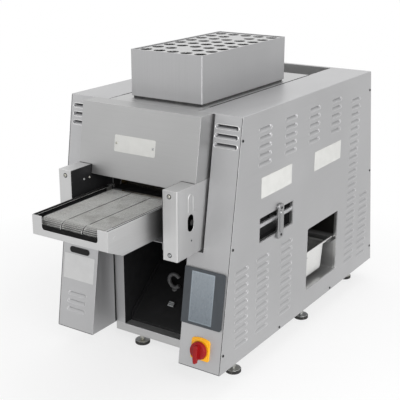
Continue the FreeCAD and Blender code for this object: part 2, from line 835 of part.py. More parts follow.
def feed_tray():
    """Folded tray that carries the belts, with a low front panel open at the top."""
    wall_in = TRAY_HALF - SHEET
    front_z = TRAY_TOP - TRAY_FRONT_H
    slope_y = TRAY_FRONT + TRAY_SLOPE_L
    outline = [
        (TRAY_FRONT, front_z),
        (slope_y, TRAY_LOW),
        (TRAY_REAR, TRAY_LOW),
        (TRAY_REAR, TRAY_TOP),
        (TRAY_FRONT, TRAY_TOP),
    ]
    pieces = []
    slot_r = PIN_R + SEAT_GAP
    for side in (-1, 1):
        x0 = min(side * wall_in, side * TRAY_HALF)
        wall = prism(outline, x0, x0 + SHEET)
        for y in (FRONT_ROLLER_Y, REAR_ROLLER_Y):
            wall = wall.cut(rod_x(x0 - SHEET, x0 + 2 * SHEET, y, ROLLER_Z, JOURNAL_R + RUN_GAP))
        wall = wall.cut(rod_x(x0 - SHEET, x0 + 2 * SHEET, PIN_Y, PIN_Z, slot_r))
        wall = wall.cut(box(
            x0 - SHEET, x0 + 2 * SHEET, PIN_Y, TRAY_REAR + SHEET, PIN_Z - slot_r, PIN_Z + slot_r,
        ))
        pieces.append(wall)
        lip = sorted((side * (TRAY_HALF - TRAY_LIP), side * TRAY_HALF))
        pieces.append(box(lip[0], lip[1], TRAY_FRONT, TRAY_REAR, TRAY_TOP - SHEET, TRAY_TOP))
        foot = sorted((side * (TRAY_HALF - TRAY_FOOT_LIP), side * TRAY_HALF))
        pieces.append(box(foot[0], foot[1], slope_y, TRAY_REAR, TRAY_LOW, TRAY_LOW + SHEET))
    panel = box(-TRAY_HALF, TRAY_HALF, TRAY_FRONT, TRAY_FRONT + SHEET, front_z, TRAY_TOP)
    pieces.append(panel)
    gap_x = TRAY_HALF - TRAY_POST
    notch = box(
        -gap_x, gap_x, TRAY_FRONT - SHEET, TRAY_FRONT + 2 * SHEET,
        front_z + TRAY_RAIL, TRAY_TOP + 2 * TRAY_CORNER,
    )
    notch = notch.makeFillet(TRAY_CORNER, edges_along(notch, V(0, 1, 0), lambda c: c.z < TRAY_TOP))
    return fuse(pieces).cut(notch)


def slider_bed():
    """Sheet under the upper run of the belts, between the tray walls."""
    top = BELT_TOP - BELT_T - SEAT_GAP
    wall_in = TRAY_HALF - SHEET
    y0 = FRONT_ROLLER_Y + BED_INSET
    return box(-wall_in, wall_in, y0, REAR_ROLLER_Y - BED_INSET, top - BED_T, top)


def roller(y):
    """Belt roller with hubs and journals in the tray walls."""
    hub = TRAY_HALF - SHEET - SEAT_GAP
    return fuse([
        rod_x(-ROLLER_HALF, ROLLER_HALF, y, ROLLER_Z, ROLLER_R),
        rod_x(-hub, hub, y, ROLLER_Z, HUB_R),
        rod_x(-TRAY_HALF, TRAY_HALF, y, ROLLER_Z, JOURNAL_R),
    ])


def feed_belts():
    """Endless belts side by side on the feed tray."""
    width = (2 * BELT_HALF - (BELTS - 1) * BELT_GAP) / BELTS
    belts = []
    for index in range(BELTS):
        x0 = index * (width + BELT_GAP) - BELT_HALF
        belts.append(loop_belt(
            x0, x0 + width, FRONT_ROLLER_Y, ROLLER_Z, REAR_ROLLER_Y, ROLLER_Z,
            ROLLER_R + SEAT_GAP, BELT_T,
        ))
    return belts


def transfer_plate():
    """Bridge from the feed belts to the broil belt, between the edges of the feed mouth."""
    top = BELT_TOP - TRANSFER_DEEP
    y1 = BROIL_FRONT_Y - BROIL_OUT_R - TRANSFER_GAP
    return box(-MOUTH_HALF, MOUTH_HALF, TRAY_REAR + TRANSFER_GAP, y1, top - TRANSFER_T, top)


def front_cover():
    """Folded cover over the feed mouth: face, top, cheeks and a tongue between the brackets."""
    rear = lean(ROOF) - SEAT_GAP
    outer = prism([
        (lean(COVER_Z0) - COVER_PROUD, COVER_Z0),
        (rear, COVER_Z0),
        (rear, BODY_H),
        (lean(BODY_H) - COVER_PROUD, BODY_H),
    ], -COVER_HALF, COVER_HALF)
    face_in = COVER_PROUD - SHEET
    low = COVER_Z0 - SHEET
    inner = prism([
        (lean(low) - face_in, low),
        (rear + SHEET, low),
        (rear + SHEET, ROOF),
        (lean(ROOF) - face_in, ROOF),
    ], SHEET - COVER_HALF, COVER_HALF - SHEET)
    tongue = slab(
        -TONGUE_HALF, TONGUE_HALF, COVER_Z0 - TONGUE_DROP, COVER_Z0 + SHEET, -COVER_PROUD, -face_in,
    )
    return fuse([outer.cut(inner), tongue])


def cover_plate():
    """Bare plate on the face of the cover."""
    half = PLATE_W / 2
    plate = slab(
        PLATE_X - half, PLATE_X + half, PLATE_Z - PLATE_H / 2, PLATE_Z + PLATE_H / 2,
        -COVER_PROUD - PLATE_T, -COVER_PROUD,
    )
    return plate


def screw_head(radius, height):
    """Low screw head that stands out towards -Y, with its seat at y = 0."""
    head = Part.makeCylinder(radius, height, V(0, 0, 0), V(0, -1, 0))
    rim = [edge for edge in head.Edges if abs(edge.CenterOfMass.y + height) < 1e-6]
    return head.makeChamfer(height / 2, rim)


def cover_screws():
    """Screws at both ends of the bare plate."""
    heads = []
    reach = PLATE_W / 2 - PLATE_SCREW_IN
    for x in (PLATE_X - reach, PLATE_X + reach):
        heads.append(on_front(screw_head(SCREW_R, SCREW_H), x, PLATE_Z, COVER_PROUD + PLATE_T))
    return heads


def exhaust_hood():
    """Sheet-metal duct with a folded rim and an inward flange that rests on the seal."""
    block = box(HOOD_LEFT, HOOD_RIGHT, HOOD_Y, HOOD_BACK, HOOD_Z0, HOOD_Z1)
    block = block.makeFillet(BEND_R, edges_along(block, V(0, 0, 1), lambda c: True))
    inside = box(
        HOOD_LEFT + SHEET, HOOD_RIGHT - SHEET, HOOD_Y + SHEET, HOOD_BACK - SHEET,
        HOOD_Z0 + SHEET, HOOD_Z1 - SHEET,
    )
    mouth = box(
        HOOD_LEFT + HOOD_RIM, HOOD_RIGHT - HOOD_RIM, HOOD_Y + HOOD_RIM, HOOD_BACK - HOOD_RIM,
        HOOD_Z1 - 2 * SHEET, HOOD_Z1 + SHEET,
    )
    throat = box(
        HOOD_LEFT + EXHAUST_INSET, HOOD_RIGHT - EXHAUST_INSET,
        HOOD_Y + EXHAUST_INSET, HOOD_BACK - EXHAUST_INSET, HOOD_Z0 - SHEET, HOOD_Z0 + 2 * SHEET,
    )
    return block.cut(inside).cut(mouth).cut(throat)


def hood_grille():
    """Perforated plate under the rim, with two places of the middle row left closed."""
    z1 = HOOD_Z1 - GRILLE_DROP
    plate = box(
        HOOD_LEFT + SHEET, HOOD_RIGHT - SHEET, HOOD_Y + SHEET, HOOD_BACK - SHEET,
        z1 - GRILLE_T, z1,
    )
    step_x = (HOOD_W - 2 * HOLE_MARGIN_X) / (HOLE_COLS - 1)
    step_y = (HOOD_D - 2 * HOLE_MARGIN_Y) / (HOLE_ROWS - 1)
    closed = [(HOLE_COLS // 2, 1), (HOLE_COLS // 2, HOLE_ROWS - 2)]
    holes = []
    for col in range(HOLE_COLS):
        for row in range(HOLE_ROWS):
            if (col, row) in closed:
                continue
            x = HOOD_LEFT + HOLE_MARGIN_X + col * step_x
            y = HOOD_Y + HOLE_MARGIN_Y + row * step_y
            holes.append(rod_z(z1 - 2 * GRILLE_T, z1 + GRILLE_T, x, y, HOLE_R))
    return plate.cut(Part.Compound(holes))


def hood_gasket():
    """Flat seal between the deck and the hood."""
    x0 = HOOD_LEFT + GASKET_INSET
    x1 = HOOD_RIGHT - GASKET_INSET
    y0 = HOOD_Y + GASKET_INSET
    y1 = HOOD_BACK - GASKET_INSET
    top = HOOD_Z0 - SEAT_GAP
    ring = box(x0, x1, y0, y1, BODY_H, top)
    hole = box(
        x0 + GASKET_W, x1 - GASKET_W, y0 + GASKET_W, y1 - GASKET_W, BODY_H - SHEET, top + SHEET,
    )
    return ring.cut(hole)


def chamber_walls():
    """Side walls of the broil chamber, lower at the rear where the product drops."""
    outline = [
        (FRAME_BACK, CHAMBER_FLOOR_Z),
        (CHAMBER_LOW_Y, CHAMBER_FLOOR_Z),
        (CHAMBER_LOW_Y, CHAMBER_LOW_Z),
        (CHAMBER_REAR, CHAMBER_LOW_Z),
        (CHAMBER_REAR, ROOF),
        (FRAME_BACK, ROOF),
    ]
    wall = prism(outline, CHAMBER_HALF, CHAMBER_HALF + SHEET)
    for y in (BROIL_FRONT_Y, BROIL_REAR_Y):
        reach = CHAMBER_HALF + 2 * SHEET
        wall = wall.cut(rod_x(CHAMBER_HALF - SHEET, reach, y, BROIL_Z, BROIL_SHAFT_R + RUN_GAP))
    return [wall, mirrored(wall)]


def chamber_floor():
    """Floor under the broil belt."""
    return box(
        -CHAMBER_HALF, CHAMBER_HALF, FRAME_BACK, CHAMBER_FLOOR_END,
        CHAMBER_FLOOR_Z, CHAMBER_FLOOR_Z + SHEET,
    )


def chamber_rear():
    """Rear wall of the broil chamber."""
    return box(-CHAMBER_HALF, CHAMBER_HALF, CHAMBER_REAR - SHEET, CHAMBER_REAR, CHAMBER_LOW_Z, ROOF)


def broil_shaft(y, right_end):
    """Shaft with sprockets for the broil belt, carried in the chamber walls."""
    pieces = [rod_x(-CHAMBER_HALF - SHEET, right_end, y, BROIL_Z, BROIL_SHAFT_R)]
    span = 2 * (BROIL_HALF - SPROCKET_T) / (SPROCKET_COUNT - 1)
    for index in range(SPROCKET_COUNT):
        x = SPROCKET_T - BROIL_HALF + index * span
        pieces.append(rod_x(x - SPROCKET_T / 2, x + SPROCKET_T / 2, y, BROIL_Z, SPROCKET_R))
    return pieces


def broil_front_shaft():
    """Front shaft of the broil belt."""
    return fuse(broil_shaft(BROIL_FRONT_Y, CHAMBER_HALF + SHEET))


def broil_rear_shaft():
    """Rear shaft of the broil belt, with the chain sprocket outside the chamber."""
    end = DRIVE_X + DRIVE_T + SHEET
    wheel = rod_x(DRIVE_X, DRIVE_X + DRIVE_T, BROIL_REAR_Y, BROIL_Z, SPROCKET_R)
    return fuse(broil_shaft(BROIL_REAR_Y, end) + [wheel])


def broil_belt():
    """Endless belt through the broil chamber."""
    return loop_belt(
        -BROIL_HALF, BROIL_HALF, BROIL_FRONT_Y, BROIL_Z, BROIL_REAR_Y, BROIL_Z,
        SPROCKET_R + SEAT_GAP, BROIL_BELT_T,
    )


def heaters(z):
    """Row of tubular elements between the chamber walls."""
    rods = []
    for index in range(HEATER_COUNT):
        y = HEATER_FIRST_Y + index * HEATER_STEP
        rods.append(rod_x(-CHAMBER_HALF, CHAMBER_HALF, y, z, HEATER_R))
    return rods


def drive_motor():
    """Gear motor on a foot that stands on the roof of the pan bay."""
    x1 = MOTOR_X + MOTOR_L
    half = MOTOR_W / 2
    case = box(MOTOR_X, x1, MOTOR_Y - half, MOTOR_Y + half, MOTOR_Z - half, MOTOR_Z + half)
    case = case.makeFillet(2 * BEND_R, edges_along(case, V(1, 0, 0), lambda c: True))
    roof = PANBAY_Z1 + SHEET
    foot = box(MOTOR_X, x1, MOTOR_Y - half / 2, MOTOR_Y + half / 2, roof, MOTOR_Z - half + BEND_R)
    bore = rod_x(MOTOR_X - SHEET, MOTOR_X + 2 * DRIVE_T, MOTOR_Y, MOTOR_Z, MOTOR_SHAFT_R + RUN_GAP)
    return fuse([case, foot]).cut(bore)


def drive_sprocket():
    """Sprocket and output shaft of the gear motor."""
    shaft = rod_x(DRIVE_X, MOTOR_X + DRIVE_T, MOTOR_Y, MOTOR_Z, MOTOR_SHAFT_R)
    wheel = rod_x(DRIVE_X, DRIVE_X + DRIVE_T, MOTOR_Y, MOTOR_Z, SPROCKET_R)
    return fuse([shaft, wheel])


def drive_chain():
    """Chain from the gear motor up to the rear shaft."""
    inset = DRIVE_T / 4
    return loop_belt(
        DRIVE_X + inset, DRIVE_X + DRIVE_T - inset, MOTOR_Y, MOTOR_Z, BROIL_REAR_Y, BROIL_Z,
        SPROCKET_R + SEAT_GAP, CHAIN_T,
    )


def bay_walls():
    """Dark side walls of the discharge bay."""
    wall = box(MOUTH_HALF, MOUTH_HALF + SHEET, FRAME_BACK, SLIDE_FRONT_Y, SHEET, BAY_TOP)
    return [wall, mirrored(wall)]


def bay_roof():
    """Dark roof of the discharge bay."""
    reach = MOUTH_HALF + SHEET
    return box(-reach, reach, FRAME_BACK, SLIDE_FRONT_Y - SHEET, BAY_TOP, BAY_TOP + SHEET)


def return_slide():
    """Sloping sheet that brings the product forward under the broil belt."""
    y1 = CHAMBER_REAR - SHEET
    outline = [
        (SLIDE_FRONT_Y, SLIDE_FRONT_Z),
        (y1, SLIDE_REAR_Z),
        (y1, SLIDE_REAR_Z + CHUTE_T),
        (SLIDE_FRONT_Y, SLIDE_FRONT_Z + CHUTE_T),
    ]
    return prism(outline, -CHAMBER_HALF, CHAMBER_HALF)


def chute_z(y):
    """Underside height of the chute at y."""
    return CHUTE_FRONT_Z + (y - CHUTE_FRONT_Y) * CHUTE_SLOPE


def discharge_chute():
    """Sloping chute with side walls and a short foot that slides on the floor."""
    outline = [
        (CHUTE_FRONT_Y, CHUTE_FRONT_Z),
        (CHUTE_REAR_Y, CHUTE_REAR_Z),
        (CHUTE_REAR_Y, CHUTE_REAR_Z + CHUTE_T),
        (CHUTE_FRONT_Y, CHUTE_FRONT_Z + CHUTE_T),
    ]
    wall = [
        (CHUTE_FRONT_Y, CHUTE_FRONT_Z),
        (CHUTE_REAR_Y, CHUTE_REAR_Z),
        (CHUTE_REAR_Y, CHUTE_REAR_Z + CHUTE_WALL),
        (CHUTE_FRONT_Y, CHUTE_FRONT_Z + CHUTE_WALL),
    ]
    floor = SHEET + SEAT_GAP
    foot = box(
        -CHUTE_HALF, CHUTE_HALF, CHUTE_FRONT_Y, CHUTE_FRONT_Y + CHUTE_T,
        floor, CHUTE_FRONT_Z + CHUTE_T,
    )
    inner = CHUTE_HALF - CHUTE_T
    return fuse([
        prism(outline, -CHUTE_HALF, CHUTE_HALF),
        prism(wall, -CHUTE_HALF, -inner),
        prism(wall, inner, CHUTE_HALF),
        foot,
    ])


def chute_bar():
    """Round bar between the bay walls that carries the upper end of the chute."""
    drop = (CHUTE_BAR_R + SEAT_GAP) / math.cos(math.radians(CHUTE_TILT))
    return rod_x(-MOUTH_HALF, MOUTH_HALF, CHUTE_BAR_Y, chute_z(CHUTE_BAR_Y) - drop, CHUTE_BAR_R)


def on_chute(shape, x, y):
    """Places a shape modelled on z = 0 onto the face of the chute."""
    moved = shape.copy()
    moved.rotate(V(0, 0, 0), V(1, 0, 0), CHUTE_TILT)
    moved.translate(V(x, y, chute_z(y) + CHUTE_T))
    return moved


def chute_grip():
    """Bent rod grip and the small catch block on the face of the chute."""
    circle = Part.Circle(V(GRIP_R, 0, 0), V(0, 0, 1), GRIP_ROD)
    face = Part.Face(Part.Wire(circle.toShape()))
    ring = face.revolve(V(0, 0, 0), V(0, 1, 0), -180)
    block = box(-CATCH_W / 2, CATCH_W / 2, -CATCH_L / 2, CATCH_L / 2, 0, CATCH_T)
    block = block.makeFillet(SHEET, edges_along(block, V(0, 0, 1), lambda c: True))
    return [on_chute(ring, GRIP_X, GRIP_Y), on_chute(block, CATCH_X, CATCH_Y)]


def pan_bay():
    """Folded box behind the opening in the right side, open to the outside."""
    y0 = PANBAY_Y0 - SHEET
    y1 = PANBAY_Y1 + SHEET
    z0 = PANBAY_Z0 - 2 * SHEET
    z1 = PANBAY_Z1 + SHEET
    block = box(PANBAY_IN, IN_X, y0, y1, z0, z1)
    inside = box(PANBAY_IN + SHEET, IN_X + SHEET, PANBAY_Y0, PANBAY_Y1, z0 + SHEET, PANBAY_Z1)
    return block.cut(inside)


def pan_runners():
    """Flat runners along both walls of the pan bay."""
    x0 = PANBAY_IN + SHEET
    half = PAN_W / 2 + HOLE_GAP
    return [
        box(x0, IN_X, PANBAY_Y0, PAN_Y - half, RUNNER_Z, RUNNER_TOP),
        box(x0, IN_X, PAN_Y + half, PANBAY_Y1, RUNNER_Z, RUNNER_TOP),
    ]


def grease_pan():
    """Deep drawn pan with a flat rim, tapered walls and round corners."""
    top = plate_outline(PAN_L, PAN_W, PAN_CORNER, 0)
    low = plate_outline(PAN_L - 2 * PAN_TAPER, PAN_W - 2 * PAN_TAPER, PAN_CORNER, -PAN_H)
    body = Part.makeLoft([top, low], True, True)
    top_in = plate_outline(PAN_L - 2 * PAN_T, PAN_W - 2 * PAN_T, PAN_CORNER - PAN_T, PAN_T)
    reach = 2 * (PAN_TAPER + PAN_T)
    low_in = plate_outline(PAN_L - reach, PAN_W - reach, PAN_CORNER - PAN_T, PAN_T - PAN_H)
    hollow = Part.makeLoft([top_in, low_in], True, True)
    rim_wire = plate_outline(PAN_L + 2 * PAN_RIM, PAN_W + 2 * PAN_RIM, PAN_CORNER + PAN_RIM, 0)
    rim = Part.Face(rim_wire).extrude(V(0, 0, PAN_T))
    pan = body.fuse(rim).cut(hollow).removeSplitter()
    pan.translate(V(PAN_FACE - PAN_L / 2, PAN_Y, PAN_TOP))
    return pan


def slide_recess():
    """Shallow box behind the slide window, open to the outside."""
    y0 = WINDOW_Y0 - SHEET
    y1 = WINDOW_Y1 + SHEET
    block = box(IN_X - RECESS_D, IN_X, y0, y1, WINDOW_Z0 - SHEET, WINDOW_Z1 + SHEET)
    inside = box(
        IN_X - RECESS_D + SHEET, IN_X + SHEET, WINDOW_Y0, WINDOW_Y1, WINDOW_Z0, WINDOW_Z1,
    )
    return block.cut(inside)


def guide_rod():
    """Polished rod along the slide window."""
    return rod_y(WINDOW_Y0, WINDOW_Y1, ROD_X, ROD_Z, ROD_R)


def slide_handle():
    """Block on the rod, with an upright grip outside the window."""
    half = SLIDER_W / 2
    x0 = ROD_X - ROD_R - SLIDER_WALL
    plate_x = HALF + HANDLE_GAP
    block = box(
        x0, plate_x + SHEET, SLIDER_Y - half, SLIDER_Y + half,
        ROD_Z - SLIDER_H / 2, ROD_Z + SLIDER_H / 2,
    )
    bore = rod_y(SLIDER_Y - SLIDER_W, SLIDER_Y + SLIDER_W, ROD_X, ROD_Z, ROD_R + RUN_GAP)
    grip = box(
        plate_x, plate_x + HANDLE_T, SLIDER_Y - HANDLE_W / 2, SLIDER_Y + HANDLE_W / 2,
        HANDLE_Z0, HANDLE_Z1,
    )
    outer = [edge for edge in grip.Edges if edge.CenterOfMass.x > plate_x + HANDLE_T - 1e-6]
    grip = grip.makeFillet(HANDLE_R, outer)
    return fuse([block.cut(bore), grip])


def side_labels():
    """Bare plates on the right side."""
    z1 = LABEL_Z0 + LABEL_H
    return [
        box(HALF, HALF + LABEL_T, LABEL_A_Y, LABEL_A_Y + LABEL_A_W, LABEL_Z0, z1),
        box(HALF, HALF + LABEL_T, LABEL_B_Y, LABEL_B_Y + LABEL_B_W, LABEL_Z0, z1),
    ]


def column_badge():
    """Bare round-ended plate on the left column."""
    plate = stadium(BADGE_W, BADGE_H, BADGE_T)
    plate.translate(V(0, -BADGE_T, 0))
    return on_front(plate, BADGE_X, BADGE_Z, 0)


def screen_bezel():
    """Frame of the touch screen on the right column, round at its outer corners."""
    frame = slab(COL_IN, BEZEL_RIGHT, BEZEL_Z0, BEZEL_Z1, -BEZEL_T, 0)
    outer = edges_along(frame, V(0, 1, 0), lambda c: c.x > BEZEL_RIGHT - 1e-6)
    frame = frame.makeFillet(BEZEL_R, outer)
    pocket = slab(GLASS_X0, GLASS_X1, GLASS_Z0, GLASS_Z1, -2 * BEZEL_T, GLASS_T - BEZEL_T)
    return frame.cut(pocket)


def screen_glass():
    """Glass set flush in the frame."""
    return slab(GLASS_X0, GLASS_X1, GLASS_Z0, GLASS_Z1, -BEZEL_T, GLASS_T - BEZEL_T)


def screen_case():
    """Housing of the touch screen inside the column."""
    return slab(GLASS_X0 - CASE_IN, GLASS_X1 + CASE_IN, GLASS_Z0, GLASS_Z1, 0, CASE_D)


def switch_plate():
    """Square plate of the main switch with an arched upper edge."""
    half = SWITCH_W / 2
    low = -SWITCH_H / 2
    high = SWITCH_H / 2
    corners = [V(-half, 0, high), V(-half, 0, low), V(half, 0, low), V(half, 0, high)]
    sides = [Part.LineSegment(corners[i], corners[i + 1]).toShape() for i in range(3)]
    arch = Part.Arc(corners[3], V(0, 0, high + SWITCH_ARCH), corners[0]).toShape()
    plate = Part.Face(Part.Wire(sides + [arch])).extrude(V(0, -SWITCH_T, 0))
    plate = plate.makeFillet(SWITCH_R, edges_along(plate, V(0, 1, 0), lambda c: True))
    plate = plate.cut(rod_y(-2 * SWITCH_T, SWITCH_T, 0, 0, SHAFT_R + RUN_GAP))
    return on_front(plate, SWITCH_X, SWITCH_Z, 0)


def switch_knob():
    """Round knob with a tapered grip bar that points down, and its shaft."""
    seat = -SWITCH_T - SEAT_GAP
    disc = Part.makeCone(KNOB_R, KNOB_R - KNOB_SKIRT, KNOB_T, V(0, seat, 0), V(0, -1, 0))
    front = seat - KNOB_T
    wide = GRIP_BAR_W / 2
    tip = GRIP_BAR_TIP / 2
    top = KNOB_R - KNOB_SKIRT
    loop = [
        V(-wide, front + SHEET, top - wide),
        V(wide, front + SHEET, top - wide),
        V(wide, front + SHEET, -KNOB_R / 2),
        V(tip, front + SHEET, -GRIP_BAR_L),
        V(-tip, front + SHEET, -GRIP_BAR_L),
        V(-wide, front + SHEET, -KNOB_R / 2),
    ]
    bar = Part.Face(Part.makePolygon(loop + loop[:1])).extrude(V(0, -GRIP_BAR_T - SHEET, 0))
    shaft = Part.makeCylinder(SHAFT_R, SHAFT_L + KNOB_T, V(0, front, 0), V(0, 1, 0))
    knob = fuse([disc, bar, shaft])
    return on_front(knob, SWITCH_X, SWITCH_Z, 0)


def switch_body():
    """Contact block of the main switch behind the column face."""
    half = SWITCH_BODY / 2
    block = box(-half, half, SHEET * 2, SHEET * 2 + SWITCH_BODY_D, -half, half)
    neck = rod_y(SHEET / 2, SHEET * 2, 0, 0, 2 * SHAFT_R - HOLE_GAP)
    depth = SHAFT_L + SHEET
    body = fuse([block, neck]).cut(rod_y(-SHEET, depth, 0, 0, SHAFT_R + RUN_GAP))
    return on_front(body, SWITCH_X, SWITCH_Z, 0)


def power_box():
    """Cover of the controls on the floor, left of the bay, open only to the floor."""
    x1 = POWER_X0 + POWER_W
    y1 = POWER_Y0 + POWER_D
    top = SHEET + POWER_H
    case = box(POWER_X0, x1, POWER_Y0, y1, SHEET, top)
    return case.cut(box(POWER_X0 + SHEET, x1 - SHEET, POWER_Y0 + SHEET, y1 - SHEET, 0, top - SHEET))


def cable_gland():
    """Gland for the mains cable in the rear panel."""
    tube = Part.makeCylinder(GLAND_R, GLAND_PROUD + 3 * SHEET, V(0, 3 * SHEET, 0), V(0, -1, 0))
    nut = Part.makeCylinder(GLAND_NUT_R, GLAND_NUT_T, V(0, 0, 0), V(0, -1, 0))
    bore = Part.makeCylinder(GLAND_BORE, GLAND_PROUD, V(0, -GLAND_PROUD - SHEET, 0), V(0, 1, 0))
    gland = fuse([tube, nut]).cut(bore)
    gland.translate(V(-GLAND_X, 0, GLAND_Z))
    return on_rear(gland)


def side_screws():
    """Screws of both side panels and of the feed brackets."""
    spots = [
        (lean(BODY_H - SIDE_SCREW_TOP) + SIDE_SCREW_EDGE, BODY_H - SIDE_SCREW_TOP),
        (lean(SIDE_SCREW_MID) + SIDE_SCREW_EDGE, SIDE_SCREW_MID),
        (lean(SIDE_SCREW_LOW) + SIDE_SCREW_EDGE, SIDE_SCREW_LOW),
        (back(BODY_H - SIDE_SCREW_TOP) - SIDE_SCREW_EDGE, BODY_H - SIDE_SCREW_TOP),
        (back(SIDE_SCREW_MID) - SIDE_SCREW_EDGE, SIDE_SCREW_MID),
        (back(SIDE_SCREW_LOW) - SIDE_SCREW_EDGE, SIDE_SCREW_LOW),
        (SIDE_SCREW_FLOOR_A, SIDE_SCREW_FLOOR_Z),
        (SIDE_SCREW_FLOOR_B, SIDE_SCREW_FLOOR_Z),
    ]
    heads = []
    for y, z in spots:
        head = screw_head(SCREW_R, SCREW_H)
        head.rotate(V(0, 0, 0), V(0, 0, 1), 90)
        head.translate(V(HALF, y, z))
        heads += [head, mirrored(head)]
    for z in (BRACKET_Z0 + BRACKET_SCREW_IN, BRACKET_Z1 - BRACKET_SCREW_IN):
        head = screw_head(SCREW_R, SCREW_H)
        head.translate(V(BRACKET_SCREW_X, BRACKET_FRONT, z))
        heads += [head, mirrored(head)]
    return heads


def build():
    """All pieces by node name, in the cabinet's own coordinates."""
    return {
        "base_rails": base_cross_rails() + base_side_rails(),
        "foot_pads": foot_pads(),
        "foot_stems": foot_stems(),
        "floor_pan": floor_pan(),
        "front_frame": front_frame(),
        "left_side_panel": left_side_panel(),
        "right_side_panel": right_side_panel(),
        "rear_panel": rear_panel(),
        "top_deck": top_deck(),
        "rear_well": rear_well(),
        "left_column": left_column(),
        "right_column": right_column(),
        "left_bracket": mirrored(bracket()),
        "right_bracket": bracket(),
        "left_feed_guide": mirrored(feed_guide()),
        "right_feed_guide": feed_guide(),
        "tray_ledges": tray_ledges(),
        "tray_pins": tray_pins(),
        "feed_tray": feed_tray(),
        "slider_bed": slider_bed(),
        "front_roller": roller(FRONT_ROLLER_Y),
        "drive_roller": roller(REAR_ROLLER_Y),
        "feed_belts": feed_belts(),
        "transfer_plate": transfer_plate(),
        "front_cover": front_cover(),
        "cover_plate": cover_plate(),
        "cover_screws": cover_screws(),
        "exhaust_hood": exhaust_hood(),
        "hood_grille": hood_grille(),
        "hood_gasket": hood_gasket(),
        "chamber_walls": chamber_walls() + [chamber_rear(), chamber_floor()],
        "broil_front_shaft": broil_front_shaft(),
        "broil_rear_shaft": broil_rear_shaft(),
        "broil_belt": broil_belt(),
        "heaters": heaters(UPPER_HEATER_Z) + heaters(BROIL_Z),
        "drive_motor": drive_motor(),
        "drive_sprocket": drive_sprocket(),
        "drive_chain": drive_chain(),
        "bay_liner": bay_walls() + [bay_roof()],
        "return_slide": return_slide(),
        "discharge_chute": discharge_chute(),
        "chute_bar": chute_bar(),
        "chute_grip": chute_grip(),
        "pan_bay": pan_bay(),
        "pan_runners": pan_runners(),
        "grease_pan": grease_pan(),
        "slide_recess": slide_recess(),
        "guide_rod": guide_rod(),
        "slide_handle": slide_handle(),
        "side_labels": side_labels(),
        "column_badge": column_badge(),
        "screen_bezel": screen_bezel(),
        "screen_glass": screen_glass(),
        "screen_case": screen_case(),
        "switch_plate": switch_plate(),
        "switch_knob": switch_knob(),
        "switch_body": switch_body(),
        "power_box": power_box(),
        "cable_gland": cable_gland(),
        "side_screws": side_screws(),
    }


def origin_shift():
    """Moves the middle of the outer box's floor to the origin."""
    left = HALF + SCREW_H
    right = HALF + HANDLE_GAP + HANDLE_T
    return V((left - right) / 2, -(TRAY_FRONT + GLAND_REACH) / 2, FOOT_DROP)


def main():
    """Writes one file per node."""
    os.makedirs("parts", exist_ok=True)
    shift = origin_shift()
    for name, made in build().items():
        shapes = made if isinstance(made, list) else [made]
        placed = []
        for shape in shapes:
            moved = shape.copy()
            moved.translate(shift)
            placed += moved.Solids
        whole = placed[0] if len(placed) == 1 else Part.Compound(placed)
        whole.exportStep("parts/" + name + ".step")
        box_size = whole.BoundBox
        print(name, len(placed), whole.isValid(), round(whole.Volume), [
            round(value, 2) for value in (
                box_size.XMin, box_size.XMax, box_size.YMin, box_size.YMax, box_size.ZMin, box_size.ZMax,
            )
        ])


main()
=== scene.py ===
"""Looks of a countertop conveyor toaster: finishes, finely built pieces, studio light and camera.

Forms are worked in millimetres from the foot of the cabinet's front, until Shape.piece brings them to the row frame.
"""

import logging
import math
from dataclasses import dataclass
from enum import Enum

import bmesh
import bpy
from mathutils import Matrix, Vector


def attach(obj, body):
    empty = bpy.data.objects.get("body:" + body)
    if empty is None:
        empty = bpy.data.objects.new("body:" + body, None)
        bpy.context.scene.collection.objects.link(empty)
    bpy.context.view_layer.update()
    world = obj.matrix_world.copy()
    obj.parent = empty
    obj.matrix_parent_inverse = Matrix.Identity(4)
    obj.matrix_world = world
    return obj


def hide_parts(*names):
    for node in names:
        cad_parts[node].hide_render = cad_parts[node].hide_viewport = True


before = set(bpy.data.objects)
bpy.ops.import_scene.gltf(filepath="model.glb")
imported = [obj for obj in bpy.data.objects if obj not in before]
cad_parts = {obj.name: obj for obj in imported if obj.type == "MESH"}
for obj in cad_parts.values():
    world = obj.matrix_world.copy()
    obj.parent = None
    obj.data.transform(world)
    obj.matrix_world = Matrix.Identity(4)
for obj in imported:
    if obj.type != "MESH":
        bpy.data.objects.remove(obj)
log = logging.getLogger("toaster")

Outline = list[tuple[float, float]]
Point = tuple[float, float, float]
Colour = tuple[float, float, float, float]
Tree = bpy.types.NodeTree
Node = bpy.types.Node
Socket = bpy.types.NodeSocket
Form = bmesh.types.BMesh

MM = 0.001
SHIFT = Vector((-5.3, -409.639, 75.0))
BODY_H = 720.0
HALF = 300.0
FRONT_SET = 111.0
REAR_FOOT = 1066.0
REAR_FLARE = 97.0
FRONT_TILT = math.atan2(FRONT_SET, BODY_H)
REAR_TILT = math.atan2(REAR_FLARE, BODY_H)
UPRIGHT = -math.pi / 2
BRACKET_SCREW_X = 180.6
BRACKET_SCREW_Z = (359.0, 525.0)
WHITE = (1.0, 1.0, 1.0, 1.0)


class Grain(Enum):
    """Which way the polishing or turning lines of a metal piece run."""

    ACROSS = (1, 0, 0)
    DEEP = (0, 1, 0)
    UP = (0, 0, 1)


def lean(z: float) -> float:
    """Y of the leaning cabinet front at height z."""
    return FRONT_SET * z / BODY_H


def rear(z: float) -> float:
    """Y of the leaning cabinet rear at height z."""
    return REAR_FOOT - REAR_FLARE * z / BODY_H


def at(x: float, y: float, z: float, turn: float = 0.0, axis: str = "X") -> Matrix:
    """Matrix that turns a form about an axis through the origin and then moves it to x, y, z."""
    return Matrix.Translation((x, y, z)) @ Matrix.Rotation(turn, 4, axis)


